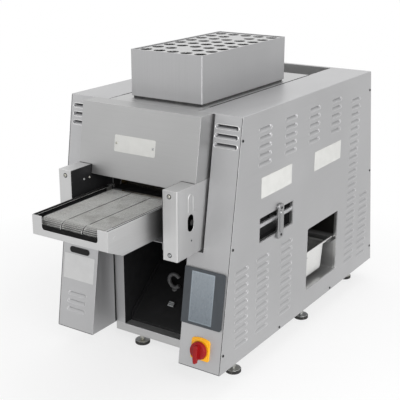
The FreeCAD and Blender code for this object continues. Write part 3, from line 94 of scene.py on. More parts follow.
def on_front(x: float, z: float, proud: float = 0.0) -> Matrix:
    """Matrix that puts an upright form facing -Y onto the leaning front at x, z, or as far proud of it."""
    return at(x, lean(z) - proud, z, -FRONT_TILT)


def on_side(y: float, z: float, x: float = HALF) -> Matrix:
    """Matrix that turns an upright form facing -Y outwards on the side sheet at x, which is negative on the left."""
    return at(x, y, z, math.copysign(math.pi / 2, x), "Z")


def on_rear(x: float, z: float) -> Matrix:
    """Matrix that puts an upright form facing -Y onto the leaning rear at x, z."""
    return at(0.0, REAR_FOOT, 0.0, REAR_TILT) @ Matrix.Rotation(math.pi, 4, "Z") @ at(-x, 0.0, z)


def linear(code: str, gain: float = 1.0) -> Colour:
    """Turns an sRGB hex colour to linear light.

    Args:
        code: Colour such as #A0A0A0.
        gain: Factor on the linear value.

    Returns:
        Red, green, blue and alpha.
    """
    parts = [int(code[i:i + 2], 16) / 255 for i in (1, 3, 5)]
    flat = [c / 12.92 if c <= 0.04045 else ((c + 0.055) / 1.055) ** 2.4 for c in parts]
    return (*(min(1.0, c * gain) for c in flat), 1.0)


def bare_tree(owner: bpy.types.Material | bpy.types.World) -> Tree:
    """Node tree of a material or world, with nothing in it.

    Args:
        owner: Material or world.

    Returns:
        The emptied tree.
    """
    owner.use_nodes = True
    owner.node_tree.nodes.clear()
    return owner.node_tree


def add(tree: Tree, kind: str, links: dict | None = None, **settings) -> Node:
    """Adds one node with its settings and links.

    Args:
        tree: Node tree that gets the node.
        kind: Node type without its ShaderNode prefix.
        links: Value or output socket for each input, by name or number.
        settings: Properties of the node itself.

    Returns:
        The new node.
    """
    made = tree.nodes.new("ShaderNode" + kind)
    for name, value in settings.items():
        setattr(made, name, value)
    for key, value in (links or {}).items():
        if isinstance(value, bpy.types.NodeSocket):
            tree.links.new(value, made.inputs[key])
        else:
            made.inputs[key].default_value = value
    return made


@dataclass(frozen=True)
class Finish:
    """A surface with a name, an sRGB tone, a roughness and the share of a full gloss that it has."""

    name: str
    tone: str
    roughness: float = 0.4
    gloss: float = 0.5

    def material(self) -> bpy.types.Material:
        """The material of this finish, built on first use.

        Returns:
            The material.
        """
        found = bpy.data.materials.get(self.name)
        if found is None:
            found = bpy.data.materials.new(self.name)
            tree = bare_tree(found)
            shader = add(tree, "BsdfPrincipled", {"Specular IOR Level": self.gloss})
            add(tree, "OutputMaterial", {"Surface": shader.outputs["BSDF"]})
            self.paint(tree, shader)
        return found

    def paint(self, tree: Tree, shader: Node) -> None:
        """Sets and links the shader's sockets; each kind of finish has its own."""
        raise NotImplementedError

    def shade(self, gain: float) -> Colour:
        """The tone in linear light, times a gain."""
        return linear(self.tone, gain)

    def uneven(self, tree: Tree, size: float | Point, detail: float = 2.0) -> Socket:
        """Irregular pattern fixed to the piece.

        Args:
            tree: Node tree of the material.
            size: Size of its marks in millimetres, the same all round or along X, Y and Z.
            detail: How much finer structure it has.

        Returns:
            Socket with values from 0 to 1.
        """
        sizes = size if isinstance(size, tuple) else (size,) * 3
        place = add(tree, "TexCoord").outputs["Object"]
        scaled = add(tree, "VectorMath", {0: place, 1: tuple(1.0 / (MM * s) for s in sizes)}, operation="MULTIPLY")
        noise = add(tree, "TexNoise", {"Vector": scaled.outputs[0], "Scale": 1.0, "Detail": detail})
        return noise.outputs["Fac"]

    def bands(self, tree: Tree, scale: float, way: str) -> Socket:
        """Even waves fixed to the piece, along its axis way, of a scale as the wave texture has it.

        Args:
            tree: Node tree of the material.
            scale: Scale as the wave texture has it.
            way: Axis that the waves follow.

        Returns:
            Socket with values from 0 to 1.
        """
        place = add(tree, "TexCoord").outputs["Object"]
        links = {"Vector": place, "Scale": scale}
        return add(tree, "TexWave", links, wave_type="BANDS", bands_direction=way).outputs["Fac"]

    def height(self, tree: Tree) -> Socket:
        """Height in the row frame, in metres."""
        return add(tree, "SeparateXYZ", {0: add(tree, "TexCoord").outputs["Object"]}).outputs["Z"]

    def blend(self, tree: Tree, share: Socket, low: Colour | Socket, high: Colour | Socket,
              start: float = 0.35, end: float = 0.65) -> Socket:
        """Goes from one colour to another along a pattern.

        Args:
            tree: Node tree of the material.
            share: Pattern that decides.
            low: Colour or socket where the pattern is below start.
            high: Colour or socket where the pattern is above end.
            start: Pattern value at which the change begins.
            end: Pattern value at which it is complete.

        Returns:
            Socket with the colour.
        """
        part = add(tree, "MapRange", {0: share, 1: start, 2: end})
        return add(tree, "Mix", {0: part.outputs[0], 6: low, 7: high}, data_type="RGBA").outputs[2]

    def edges(self, tree: Tree, radius: float) -> tuple[Socket, Socket]:
        """Softened normal and edge mask of a folded or cut piece.

        Args:
            tree: Node tree of the material.
            radius: Radius of the edge in millimetres.

        Returns:
            Normal socket, and a mask that is 1 on the edge.
        """
        soft = add(tree, "Bevel", {"Radius": radius * MM}, samples=4)
        flat = add(tree, "NewGeometry").outputs["Normal"]
        facing = add(tree, "VectorMath", {0: soft.outputs[0], 1: flat}, operation="DOT_PRODUCT")
        mask = add(tree, "MapRange", {0: facing.outputs["Value"], 1: 0.995, 2: 0.9})
        return soft.outputs[0], mask.outputs[0]

    def relief(self, tree: Tree, strength: float, depth: float, height: Socket, **normal: Socket) -> Socket:
        """Bump as deep as so many millimetres, over the given Normal if there is one."""
        return add(tree, "Bump", {"Strength": strength, "Distance": depth * MM, "Height": height, **normal}).outputs[0]

    def lay(self, tree: Tree, shader: Node, colour: Socket, rough: tuple[Socket, float, float],
            relief: Socket | None = None, **sockets: float) -> None:
        """Sets and links the sockets that nearly every finish uses.

        Args:
            tree: Node tree of the material.
            shader: Its shader.
            colour: Base colour.
            rough: Pattern of the roughness, and what its low and its high places add to the finish's own.
            relief: Normal with the bump.
            sockets: Value of each uniform socket, named with _ for a space.
        """
        pattern, low, high = rough
        spread = {0: pattern, 1: 0.3, 2: 0.7, 3: self.roughness + low, 4: self.roughness + high}
        tree.links.new(colour, shader.inputs["Base Color"])
        tree.links.new(add(tree, "MapRange", spread).outputs[0], shader.inputs["Roughness"])
        if relief is not None:
            tree.links.new(relief, shader.inputs["Normal"])
        for name, value in sockets.items():
            shader.inputs[name.replace("_", " ")].default_value = value


@dataclass(frozen=True)
class BrushedSheet(Finish):
    """Stainless steel sheet, polished with an abrasive belt: soft sheen with fine straight lines."""

    grain: Grain = Grain.UP
    # Real polishing lines are 0.1 mm wide; these are drawn at 2.4 mm so that a 2 mm pixel shows them.
    line: float = 2.4
    run: float = 160.0
    depth: float = 0.02
    # Gain on the tone at cut and folded edges; a paler edge is partly wear and partly painted highlight.
    edge_gain: float = 1.35

    def paint(self, tree: Tree, shader: Node) -> None:
        """Lines along the grain, slow clouds from rolling and handling, and cut and folded edges paler, partly wear and
        partly painted highlight.

        Args:
            tree: Node tree of the material.
            shader: Its shader.
        """
        lines = self.uneven(tree, tuple(self.run if axis else self.line for axis in self.grain.value))
        streaked = self.blend(tree, lines, self.shade(0.93), self.shade(1.05))
        clouded = self.blend(tree, self.uneven(tree, 220.0, 1.0), self.shade(0.94), self.shade(1.05))
        sheet = add(tree, "Mix", {0: 0.5, 6: streaked, 7: clouded}, data_type="RGBA").outputs[2]
        normal, edge_mask = self.edges(tree, 1.4)
        colour = self.blend(tree, edge_mask, sheet, self.shade(self.edge_gain), 0.2, 1.0)
        relief = self.relief(tree, 0.4, self.depth, lines, Normal=normal)
        self.lay(tree, shader, colour, (lines, -0.05, 0.06), relief, Metallic=1.0)


@dataclass(frozen=True)
class ShadeToppedSheet(BrushedSheet):
    """Stainless sheet of a bay next to the broiler: steel below, dark painted shade above a height."""

    # Dark tone painted above the height as the shade of the upper bay.
    painted_shade: str = "#3A3937"
    above: float = 186.0
    border: float = 8.0

    def paint(self, tree: Tree, shader: Node) -> None:
        """Brushed sheet that turns to painted shade round a height.

        Args:
            tree: Node tree of the material.
            shader: Its shader.
        """
        super().paint(tree, shader)
        steel = shader.inputs["Base Color"].links[0].from_socket
        low, high = ((self.above + SHIFT.z + way * self.border) * MM for way in (-1, 1))
        # Painted shade over the steel above the height.
        colour = self.blend(tree, self.height(tree), steel, linear(self.painted_shade), low, high)
        tree.links.new(colour, shader.inputs["Base Color"])


@dataclass(frozen=True)
class TurnedSteel(Finish):
    """Steel bar turned or ground on a lathe: bright, with fine rings round its axis."""

    grain: Grain = Grain.ACROSS

    def paint(self, tree: Tree, shader: Node) -> None:
        """Rings every 1.5 mm, drawn coarser than the 0.2 mm feed marks, and a few dull patches.

        Args:
            tree: Node tree of the material.
            shader: Its shader.
        """
        rings = self.uneven(tree, tuple(1.5 if axis else 60.0 for axis in self.grain.value), 1.0)
        ringed = self.blend(tree, rings, self.shade(0.85), self.shade(1.1))
        colour = self.blend(tree, self.uneven(tree, 18.0), ringed, self.shade(0.8), 0.5, 0.9)
        self.lay(tree, shader, colour, (rings, -0.05, 0.08), self.relief(tree, 0.4, 0.02, rings), Metallic=1.0)


@dataclass(frozen=True)
class ZincPlate(Finish):
    """Steel with bright zinc plating: cloudy grey with a faint straw tint."""

    tint: str = "#B9B39C"

    def paint(self, tree: Tree, shader: Node) -> None:
        """Spangles of 6 mm, tinted clouds of 40 mm and rubbed edges.

        Args:
            tree: Node tree of the material.
            shader: Its shader.
        """
        spangle = self.uneven(tree, 6.0, 3.0)
        plated = self.blend(tree, spangle, self.shade(0.85), self.shade(1.1))
        tinted = self.blend(tree, self.uneven(tree, 40.0, 1.0), plated, linear(self.tint), 0.5, 0.95)
        normal, edge_mask = self.edges(tree, 0.6)
        colour = self.blend(tree, edge_mask, tinted, self.shade(1.5), 0.2, 1.0)
        relief = self.relief(tree, 0.25, 0.05, spangle, Normal=normal)
        self.lay(tree, shader, colour, (spangle, -0.06, 0.1), relief, Metallic=1.0)


@dataclass(frozen=True)
class HeatTinted(Finish):
    """Stainless sheet that has been hot: straw and blue-brown oxide clouds over the steel."""

    straw: str = "#9C8458"
    scorch: str = "#4A4038"

    def paint(self, tree: Tree, shader: Node) -> None:
        """Oxide clouds of 70 mm, with baked-on specks of 5 mm that are rougher than the steel.

        Args:
            tree: Node tree of the material.
            shader: Its shader.
        """
        specks = self.uneven(tree, 5.0)
        oxide = self.blend(tree, self.uneven(tree, 70.0, 3.0), self.shade(1.0), linear(self.straw), 0.4, 0.7)
        colour = self.blend(tree, specks, oxide, linear(self.scorch), 0.6, 0.75)
        self.lay(tree, shader, colour, (specks, 0.0, 0.25), self.relief(tree, 0.5, 0.08, specks), Metallic=0.9)


@dataclass(frozen=True)
class PowderCoat(Finish):
    """Steel with a baked powder coat: matt, with a fine orange peel and rubbed edges."""

    rubbed: str = "#4C4C4D"

    def paint(self, tree: Tree, shader: Node) -> None:
        """Orange peel of 1.6 mm, drawn coarser than real, greasy patches and paler edges.

        Args:
            tree: Node tree of the material.
            shader: Its shader.
        """
        grease = self.uneven(tree, 45.0)
        coat = self.blend(tree, grease, self.shade(0.8), self.shade(1.25))
        normal, edge_mask = self.edges(tree, 0.8)
        colour = self.blend(tree, edge_mask, coat, linear(self.rubbed), 0.1, 1.0)
        relief = self.relief(tree, 0.3, 0.08, self.uneven(tree, 1.6, 1.0), Normal=normal)
        self.lay(tree, shader, colour, (grease, 0.1, -0.12), relief, IOR=1.5)


@dataclass(frozen=True)
class MouldedPlastic(Finish):
    """Injection moulded polycarbonate or ABS: even colour, spark-eroded texture, polished edges."""

    def paint(self, tree: Tree, shader: Node) -> None:
        """Texture of 1 mm, drawn coarser than the real 0.2 mm, flow clouds and lighter handled edges.

        Args:
            tree: Node tree of the material.
            shader: Its shader.
        """
        texture = self.uneven(tree, 1.0, 1.0)
        flow = self.uneven(tree, (25.0, 25.0, 60.0), 1.0)
        body = self.blend(tree, flow, self.shade(0.9), self.shade(1.08))
        normal, edge_mask = self.edges(tree, 0.7)
        colour = self.blend(tree, edge_mask, body, self.shade(1.5), 0.1, 1.3)
        relief = self.relief(tree, 0.2, 0.05, texture, Normal=normal)
        self.lay(tree, shader, colour, (texture, -0.04, 0.06), relief, IOR=1.53)


@dataclass(frozen=True)
class CastRubber(Finish):
    """Moulded rubber: dark, dusty on top and dull."""

    dust: str = "#5E5C58"

    def paint(self, tree: Tree, shader: Node) -> None:
        """Pores of 1.2 mm and dust patches of 15 mm.

        Args:
            tree: Node tree of the material.
            shader: Its shader.
        """
        patches = self.uneven(tree, 15.0, 3.0)
        colour = self.blend(tree, patches, self.shade(1.0), linear(self.dust), 0.5, 0.8)
        relief = self.relief(tree, 0.4, 0.1, self.uneven(tree, 1.2))
        self.lay(tree, shader, colour, (patches, 0.0, 0.1), relief, IOR=1.52)


@dataclass(frozen=True)
class PrintedFilm(Finish):
    """Polyester or foil plate stock: flat and smooth, a little crinkled, darker at its cut edge."""

    metal: float = 0.0
    crinkle: float = 0.05

    def paint(self, tree: Tree, shader: Node) -> None:
        """Crinkles of 9 mm and a faint grey film of dust.

        Args:
            tree: Node tree of the material.
            shader: Its shader.
        """
        folds = self.uneven(tree, 9.0)
        sheet = self.blend(tree, self.uneven(tree, 30.0), self.shade(0.97), self.shade(1.02))
        edge_mask = self.edges(tree, 0.5)[1]
        colour = self.blend(tree, edge_mask, sheet, self.shade(0.6), 0.2, 1.0)
        relief = self.relief(tree, 0.5, self.crinkle, folds)
        self.lay(tree, shader, colour, (folds, -0.05, 0.05), relief, Metallic=self.metal)


@dataclass(frozen=True)
class PanelGlass(Finish):
    """Chemically hardened glass over a dark display: smooth, paler towards the top with a painted reflection."""

    # Colour of the painted reflection at the head of the pane.
    upper: str = "#A9B6BF"
    foot: float = 133.0
    head: float = 280.0

    def paint(self, tree: Tree, shader: Node) -> None:
        """Painted reflection as a slow gradient up the pane, with finger smears of 14 mm in the gloss.

        Args:
            tree: Node tree of the material.
            shader: Its shader.
        """
        low, high = ((z + SHIFT.z) * MM for z in (self.foot, self.head))
        colour = self.blend(tree, self.height(tree), self.shade(1.0), linear(self.upper), low, high)
        smears = self.uneven(tree, (14.0, 14.0, 26.0), 3.0)
        self.lay(tree, shader, colour, (smears, 0.0, 0.16), IOR=1.52, Coat_Weight=0.4)


@dataclass(frozen=True)
class SpunWire(Finish):
    """Stainless wire, drawn and crimped: bright crowns, dull and greasy between them."""

    grime: str = "#6B675F"

    def paint(self, tree: Tree, shader: Node) -> None:
        """Drawing marks of 3 mm and grease patches of 35 mm.

        Args:
            tree: Node tree of the material.
            shader: Its shader.
        """
        marks = self.uneven(tree, 3.0)
        wire = self.blend(tree, marks, self.shade(0.85), self.shade(1.1))
        colour = self.blend(tree, self.uneven(tree, 35.0, 3.0), wire, linear(self.grime), 0.5, 0.95)
        self.lay(tree, shader, colour, (marks, -0.05, 0.1), Metallic=1.0)


@dataclass(frozen=True)
class WovenBand(Finish):
    """Closed wire belt seen as one band: cross rods with spirals between them."""

    rod_pitch: float = 12.0

    def paint(self, tree: Tree, shader: Node) -> None:
        """Cross rods every 12 mm and spiral turns every 6 mm, both as relief and as painted shade in the gaps.

        Args:
            tree: Node tree of the material.
            shader: Its shader.
        """
        rods = self.bands(tree, 0.314 / (self.rod_pitch * MM), "Y")
        turns = self.bands(tree, 0.628 / (self.rod_pitch * MM), "X")
        weave = add(tree, "Math", {0: rods, 1: turns}, operation="MAXIMUM").outputs[0]
        specks = self.uneven(tree, 20.0, 3.0)
        wire = self.blend(tree, specks, self.shade(1.0), self.shade(0.55))
        # Painted shade in the gaps between rods and turns.
        colour = self.blend(tree, weave, self.shade(0.25), wire, 0.2, 0.7)
        self.lay(tree, shader, colour, (specks, 0.0, 0.2), self.relief(tree, 0.8, 0.5, weave), Metallic=1.0)


@dataclass(frozen=True)
class MilkyQuartz(Finish):
    """Drawn quartz tube over a wound heating wire: pale, with the turns showing through."""

    coil: str = "#8C7A66"

    def paint(self, tree: Tree, shader: Node) -> None:
        """Turns of the wire every 5 mm along the tube, veiled by cloudy quartz.

        Args:
            tree: Node tree of the material.
            shader: Its shader.
        """
        veil = self.uneven(tree, 12.0)
        wound = self.blend(tree, self.bands(tree, 62.8, "X"), self.shade(1.0), linear(self.coil), 0.5, 0.9)
        colour = self.blend(tree, veil, wound, self.shade(1.0), 0.4, 0.8)
        self.lay(tree, shader, colour, (veil, 0.0, 0.15), IOR=1.46, Transmission_Weight=0.25)


SIDE_SHEET = BrushedSheet("brushed_stainless_side", "#B5B5B6", 0.42, grain=Grain.DEEP)
COLUMN_SHEET = BrushedSheet("brushed_stainless_column", "#B6B6B7", 0.58)
COVER_SHEET = BrushedSheet("brushed_stainless_cover", "#ADADAD", 0.46, grain=Grain.ACROSS)
HOOD_SHEET = BrushedSheet("brushed_stainless_hood", "#AFAFB0", 0.42, depth=0.008, edge_gain=0.95)
GRILLE_SHEET = BrushedSheet("punched_stainless_grille", "#B9B9B9", 0.46, grain=Grain.DEEP, edge_gain=0.9)
DECK_SHEET = BrushedSheet("brushed_stainless_deck", "#B5B5B5", 0.36, grain=Grain.DEEP)
BRACKET_SHEET = BrushedSheet("brushed_stainless_bracket", "#C6C6C6", 0.46)
TRAY_SHEET = BrushedSheet("brushed_stainless_tray", "#C8C8C8", 0.44, grain=Grain.DEEP)
INNER_SHEET = BrushedSheet("rolled_stainless_inner", "#8E8E8F", 0.48, grain=Grain.ACROSS)
PAN_STEEL = BrushedSheet("drawn_stainless_pan", "#E6E6E4", 0.4, grain=Grain.ACROSS, line=5.0)
# Bay sheet with painted shade above the pan's rim.
BAY_SHEET = ShadeToppedSheet("stainless_bay_painted_shade", "#BCBCBC", 0.42, grain=Grain.ACROSS)
RUNNER_SHEET = BrushedSheet("rolled_stainless_runner", "#8A8A8A", 0.4, grain=Grain.DEEP)
HANDLE_STEEL = BrushedSheet("cast_stainless_handle", "#9A9A9B", 0.34)
SILL_SHEET = BrushedSheet("rolled_stainless_sill", "#B6B6B6", 0.42, grain=Grain.ACROSS)
# Darker steel painted as the shade deep in the front louvres.
POCKET_SHADE_SHEET = BrushedSheet("pressed_stainless_pocket_painted_shade", "#707072", 0.46, grain=Grain.ACROSS)
SHADED_SHEET = BrushedSheet("pressed_stainless_scoop", "#ABABAC", 0.46, grain=Grain.DEEP)
# Brighter, glossier copy of the stainless: a painted highlight on louvre rims and folded returns.
LIT_RIM_SHEET = BrushedSheet("rolled_stainless_rim_painted_highlight", "#C8C8C8", 0.36, grain=Grain.ACROSS)
BRIGHT_BAR = TurnedSteel("ground_bright_bar", "#C2C2C4", 0.5, grain=Grain.DEEP)
DARK_ROLLER = TurnedSteel("turned_oiled_roller", "#3C3B3A", 0.4)
DARK_SHAFT = TurnedSteel("turned_dark_shaft", "#5A5856", 0.4)
ZINC = ZincPlate("zinc_plated_steel", "#A5A7A8", 0.36)
HOT_SHEET = HeatTinted("heat_tinted_stainless", "#6E6A64", 0.4)
BLACK_COAT = PowderCoat("baked_black_coat", "#1B1B1C", 0.56, gloss=0.25, rubbed="#3C3C3D")
# Dark steel; on the side screws and bracket washers its darkness is painted shade.
BLACK_SCREW = TurnedSteel("dark_screw_steel", "#39393A", 0.42)
GREY_COAT = PowderCoat("baked_grey_coat", "#5D6063", 0.48, rubbed="#8A8C8E")
BEZEL_PLASTIC = MouldedPlastic("moulded_abs_bezel", "#34393E", 0.46)
BLACK_PLASTIC = MouldedPlastic("moulded_nylon_black", "#1A1A1C", 0.5, gloss=0.25)
RED_PLASTIC = MouldedPlastic("moulded_polycarbonate_red", "#8F050A", 0.42, gloss=0.3)
YELLOW_PLASTIC = MouldedPlastic("moulded_polycarbonate_yellow", "#F2AC12", 0.42)
GRIP_PLASTIC = MouldedPlastic("moulded_nylon_grey", "#5E5E5F", 0.5)
RUBBER = CastRubber("moulded_black_rubber", "#242322", 0.7)
SEAL = CastRubber("cast_silicone_seal", "#2C2C2D", 0.62)
# Near-black strip: painted shade in sheet gaps, under the belt noses, on the tray and round the grille holes.
SHADE_STRIP = CastRubber("painted_shade_strip", "#121212", 0.8, gloss=0.1, dust="#232221")
WHITE_FILM = PrintedFilm("polyester_film_white", "#CCCCC9", 0.42)
FOIL_FILM = PrintedFilm("polyester_film_silver", "#C9C9C9", 0.36, metal=0.6, crinkle=0.25)
BADGE_BLACK = PrintedFilm("anodised_aluminium_black", "#141415", 0.5, gloss=0.2)
# The upper tones of both panes are painted reflection.
PANE = PanelGlass("hardened_display_glass", "#626B73", 0.2, upper="#7F878E")
PANE_EDGE = PanelGlass("hardened_border_glass", "#707A82", 0.2, upper="#8A939B")
WIRE = SpunWire("drawn_stainless_wire", "#DEDEDC", 0.4, grime="#A8A6A2")
BROIL_WEAVE = WovenBand("woven_stainless_belt", "#7C7871", 0.42)
QUARTZ = MilkyQuartz("drawn_quartz_tube", "#D9D3C8", 0.22)


def rounded(width: float, height: float, radius: float | tuple[float, ...], steps: int = 6) -> Outline:
    """Rectangle with round corners about the origin.

    Args:
        width: Size across.
        height: Size upwards.
        radius: Radius of all corners, or of each from lower right round by the upper right to the lower left.
        steps: Points in each corner, less one.

    Returns:
        Outline points.
    """
    outline = []
    radii = radius if isinstance(radius, tuple) else (radius,) * 4
    corners = ((1, -1, -90.0), (1, 1, 0.0), (-1, 1, 90.0), (-1, -1, 180.0))
    for (side_x, side_z, start), corner in zip(corners, radii):
        for step in range(steps + 1):
            turn = math.radians(start + 90.0 * step / steps)
            x = side_x * (width / 2 - corner) + corner * math.cos(turn)
            outline.append((x, side_z * (height / 2 - corner) + corner * math.sin(turn)))
    return outline


def circle(radius: float, sides: int) -> Outline:
    """Points round the origin."""
    turns = [2 * math.pi * side / sides for side in range(sides)]
    return [(radius * math.cos(turn), radius * math.sin(turn)) for turn in turns]


def lofted(rings: list[list[Point]], closed: bool = False, ends: bool = True) -> Form:
    """Skin over rings with the same number of points.

    Args:
        rings: Closed loops of points in order.
        closed: Whether the last ring joins the first.
        ends: Whether the first and last ring are filled.

    Returns:
        The form.
    """
    part = bmesh.new()
    loops = [[part.verts.new(point) for point in ring] for ring in rings]
    count = len(loops[0])
    for first, second in zip(loops, loops[1:] + loops[:1] if closed else loops[1:]):
        for i in range(count):
            j = (i + 1) % count
            part.faces.new((first[i], first[j], second[j], second[i]))
    if ends and not closed:
        part.faces.new(loops[0])
        part.faces.new(loops[-1])
    bmesh.ops.recalc_face_normals(part, faces=part.faces)
    return part


def plate(outline: Outline, thickness: float, edge: float = 0.0, steps: int = 3) -> Form:
    """Flat plate with its back on y = 0 and a round front edge.

    Args:
        outline: Its outline in x and z.
        thickness: How far it stands out towards -Y.
        edge: Radius of the front edge.
        steps: Faces across that edge.

    Returns:
        The form.
    """
    part = lofted([[(x, y, z) for x, z in outline] for y in (0.0, -thickness)])
    if edge > 0:
        rim = [e for e in part.edges if all(v.co.y < 1e-5 - thickness for v in e.verts)]
        bmesh.ops.bevel(part, geom=rim, offset=edge, segments=steps, profile=0.5, affect="EDGES", clamp_overlap=True)
    return part


def frame_plate(outer: Outline, inner: Outline, thickness: float, edge: float) -> Form:
    """Flat frame with an opening.

    Args:
        outer: Outline of the frame.
        inner: Outline of its opening, with as many points.
        thickness: How far it stands out towards -Y.
        edge: Width of the sloped front edge, outside and inside.

    Returns:
        The form.
    """
    def ring(outline: Outline, grow: float, y: float) -> list[Point]:
        """The outline at y, moved outwards."""
        middle_x, middle_z = (sum(places) / len(outline) for places in zip(*outline))
        return [(x + math.copysign(grow, x - middle_x), y, z + math.copysign(grow, z - middle_z)) for x, z in outline]

    return lofted([
        ring(outer, 0.0, 0.0), ring(outer, 0.0, edge - thickness), ring(outer, -0.3 * edge, 0.3 * edge - thickness),
        ring(outer, -edge, -thickness), ring(inner, edge / 2, -thickness), ring(inner, 0.0, edge / 2 - thickness),
        ring(inner, 0.0, 0.0),
    ], closed=True)


def turned(profile: Outline, sides: int = 40, lobes: float = 0.0, closed: bool = False) -> Form:
    """Form turned about the Y axis and standing out towards -Y.

    Args:
        profile: Radius and height pairs from the seat to the tip.
        sides: Faces round it.
        lobes: Depth of grip ribs on every second side.
        closed: Whether the profile runs round a ring's section.

    Returns:
        The form.
    """
    rings = []
    for radius, height in profile:
        crest, root = (circle(max(reach, 0.02), sides) for reach in (radius, radius - lobes))
        points = [(root if side % 2 else crest)[side] for side in range(sides)]
        rings.append([(x, -height, z) for x, z in points])
    return lofted(rings, closed)


def block(low: Point, high: Point, edge: float = 0.6, steps: int = 2) -> Form:
    """Block between two corners, with edges rounded by so many faces.

    Args:
        low: Near lower corner.
        high: Far upper corner.
        edge: How far its edges are cut back.
        steps: Faces on each edge.

    Returns:
        The block.
    """
    part = bmesh.new()
    bmesh.ops.create_cube(part, size=1.0)
    for vert in part.verts:
        vert.co = Vector(h if c > 0 else l for l, h, c in zip(low, high, vert.co))
    bmesh.ops.bevel(part, geom=list(part.edges), offset=edge, segments=steps, profile=0.5, affect="EDGES")
    return part


def tube(path: list[Vector], radius: float, sides: int = 12) -> Form:
    """Round bar along a path.

    Args:
        path: Points of its middle line.
        radius: Its radius.
        sides: Faces round it.

    Returns:
        The form.
    """
    rings = []
    side = (path[1] - path[0]).normalized().orthogonal().normalized()
    for i, point in enumerate(path):
        along = (path[min(i + 1, len(path) - 1)] - path[max(i - 1, 0)]).normalized()
        side = (side - along * side.dot(along)).normalized()
        other = along.cross(side)
        turns = [2 * math.pi * k / sides for k in range(sides)]
        rings.append([tuple(point + radius * (math.cos(turn) * side + math.sin(turn) * other)) for turn in turns])
    return lofted(rings)


def round_loop(first: tuple[float, float], last: tuple[float, float], reach: float, distance: float,
               lift: float = 0.0) -> tuple[float, float]:
    """Point on an endless loop over two equal wheels.

    Args:
        first: Y and z of the wheel from whose top the upper run starts.
        last: Y and z of the wheel at its other end.
        reach: Radius of the loop on the wheels.
        distance: How far round the point is.
        lift: How far out of the loop it lies.

    Returns:
        Y and z of the point.
    """
    run = math.dist(first, last)
    along_y, along_z = ((b - a) / run for a, b in zip(first, last))
    bend = math.pi * reach
    half = run + bend
    # The lower run is the upper one turned half round, from the last wheel back to the first.
    back = distance % (2 * half) >= half
    sign = -1.0 if back else 1.0
    start, end = (last, first) if back else (first, last)
    distance = distance % half
    out = (reach + lift) * sign
    if distance < run:
        across, ahead, (y, z) = out, distance * sign, start
    else:
        turn = (distance - run) / reach
        across, ahead, (y, z) = out * math.cos(turn), out * math.sin(turn), end
    return y - along_z * across + along_y * ahead, z + along_y * across + along_z * ahead


def placed(name: str, data: bpy.types.ID) -> bpy.types.Object:
    """New object of that name in the scene.

    Args:
        name: Its name.
        data: Its mesh, camera or light.

    Returns:
        The new object.
    """
    made = bpy.data.objects.new(name, data)
    bpy.context.scene.collection.objects.link(made)
    return made


class Shape:
    """A mesh that grows from worked forms."""

    def __init__(self) -> None:
        """Starts empty."""
        self.mesh = bmesh.new()

    def take(self, part: Form, place: Matrix | None = None, finish: int = 0) -> "Shape":
        """Adds a form.

        Args:
            part: The form, used up by this.
            place: Where it goes.
            finish: Which of the piece's finishes it has.

        Returns:
            This shape.
        """
        if place is not None:
            part.transform(place)
        for face in part.faces:
            face.material_index = finish
        data = bpy.data.meshes.new("form")
        part.to_mesh(data)
        part.free()
        self.mesh.from_mesh(data)
        bpy.data.meshes.remove(data)
        return self

    def screw(self, place: Matrix, wide: float = 1.0, high: float = 1.0, finish: int = 0) -> None:
        """Adds a low domed head with a six-sided socket.

        Args:
            place: Its seat, facing -Y.
            wide: Factor on its width.
            high: Factor on its height.
            finish: Which of the piece's finishes it has.
        """
        dome = [(3.6, 0.0), (3.55, 0.7), (3.1, 1.5), (2.3, 2.05), (1.9, 2.15), (1.85, 0.9), (0.0, 0.9)]
        socket = [(1.75, 0.5), (1.75, 1.0), (0.0, 1.0)]
        for form in (turned(dome, 30), turned(socket, 6)):
            self.take(form, place @ Matrix.Diagonal((wide, high, wide, 1.0)), finish)

    def piece(self, name: str, finishes: list[Finish], body: str, slot: str, *instead_of: str,
              sharp: float = 38.0) -> None:
        """Turns the mesh into a piece of the object.

        Args:
            name: Name of the piece.
            finishes: Its finishes, in the order that the forms use.
            body: Body that it moves with.
            slot: Material slot that it stands for; not used.
            instead_of: Nodes that it is shown for.
            sharp: Edge angle in degrees from which an edge stays crisp.
        """
        data = bpy.data.meshes.new(name)
        self.mesh.transform(Matrix.Scale(MM, 4) @ Matrix.Translation(SHIFT))
        self.mesh.to_mesh(data)
        self.mesh.free()
        for finish in finishes:
            data.materials.append(finish.material())
        data.polygons.foreach_set("use_smooth", [True] * len(data.polygons))
        data.set_sharp_from_angle(angle=math.radians(sharp))
        made = placed(name, data)
        made.modifiers.new("even_shading", "WEIGHTED_NORMAL").keep_sharp = True
        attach(made, body)
        if instead_of:
            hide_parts(*instead_of)
        log.info("%s: %d faces, rides on %s", name, len(data.polygons), body)


def dress(finish: Finish, *nodes: str) -> None:
    """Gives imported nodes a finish.

    Args:
        finish: The finish.
        nodes: Names of the nodes.
    """
    material = finish.material()
    for name in nodes:
        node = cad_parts[name]
        if not node.material_slots:
            node.data.materials.append(material)
        for slot in node.material_slots:
            slot.material = material
        log.info("%s: dressed in %s", name, finish.name)


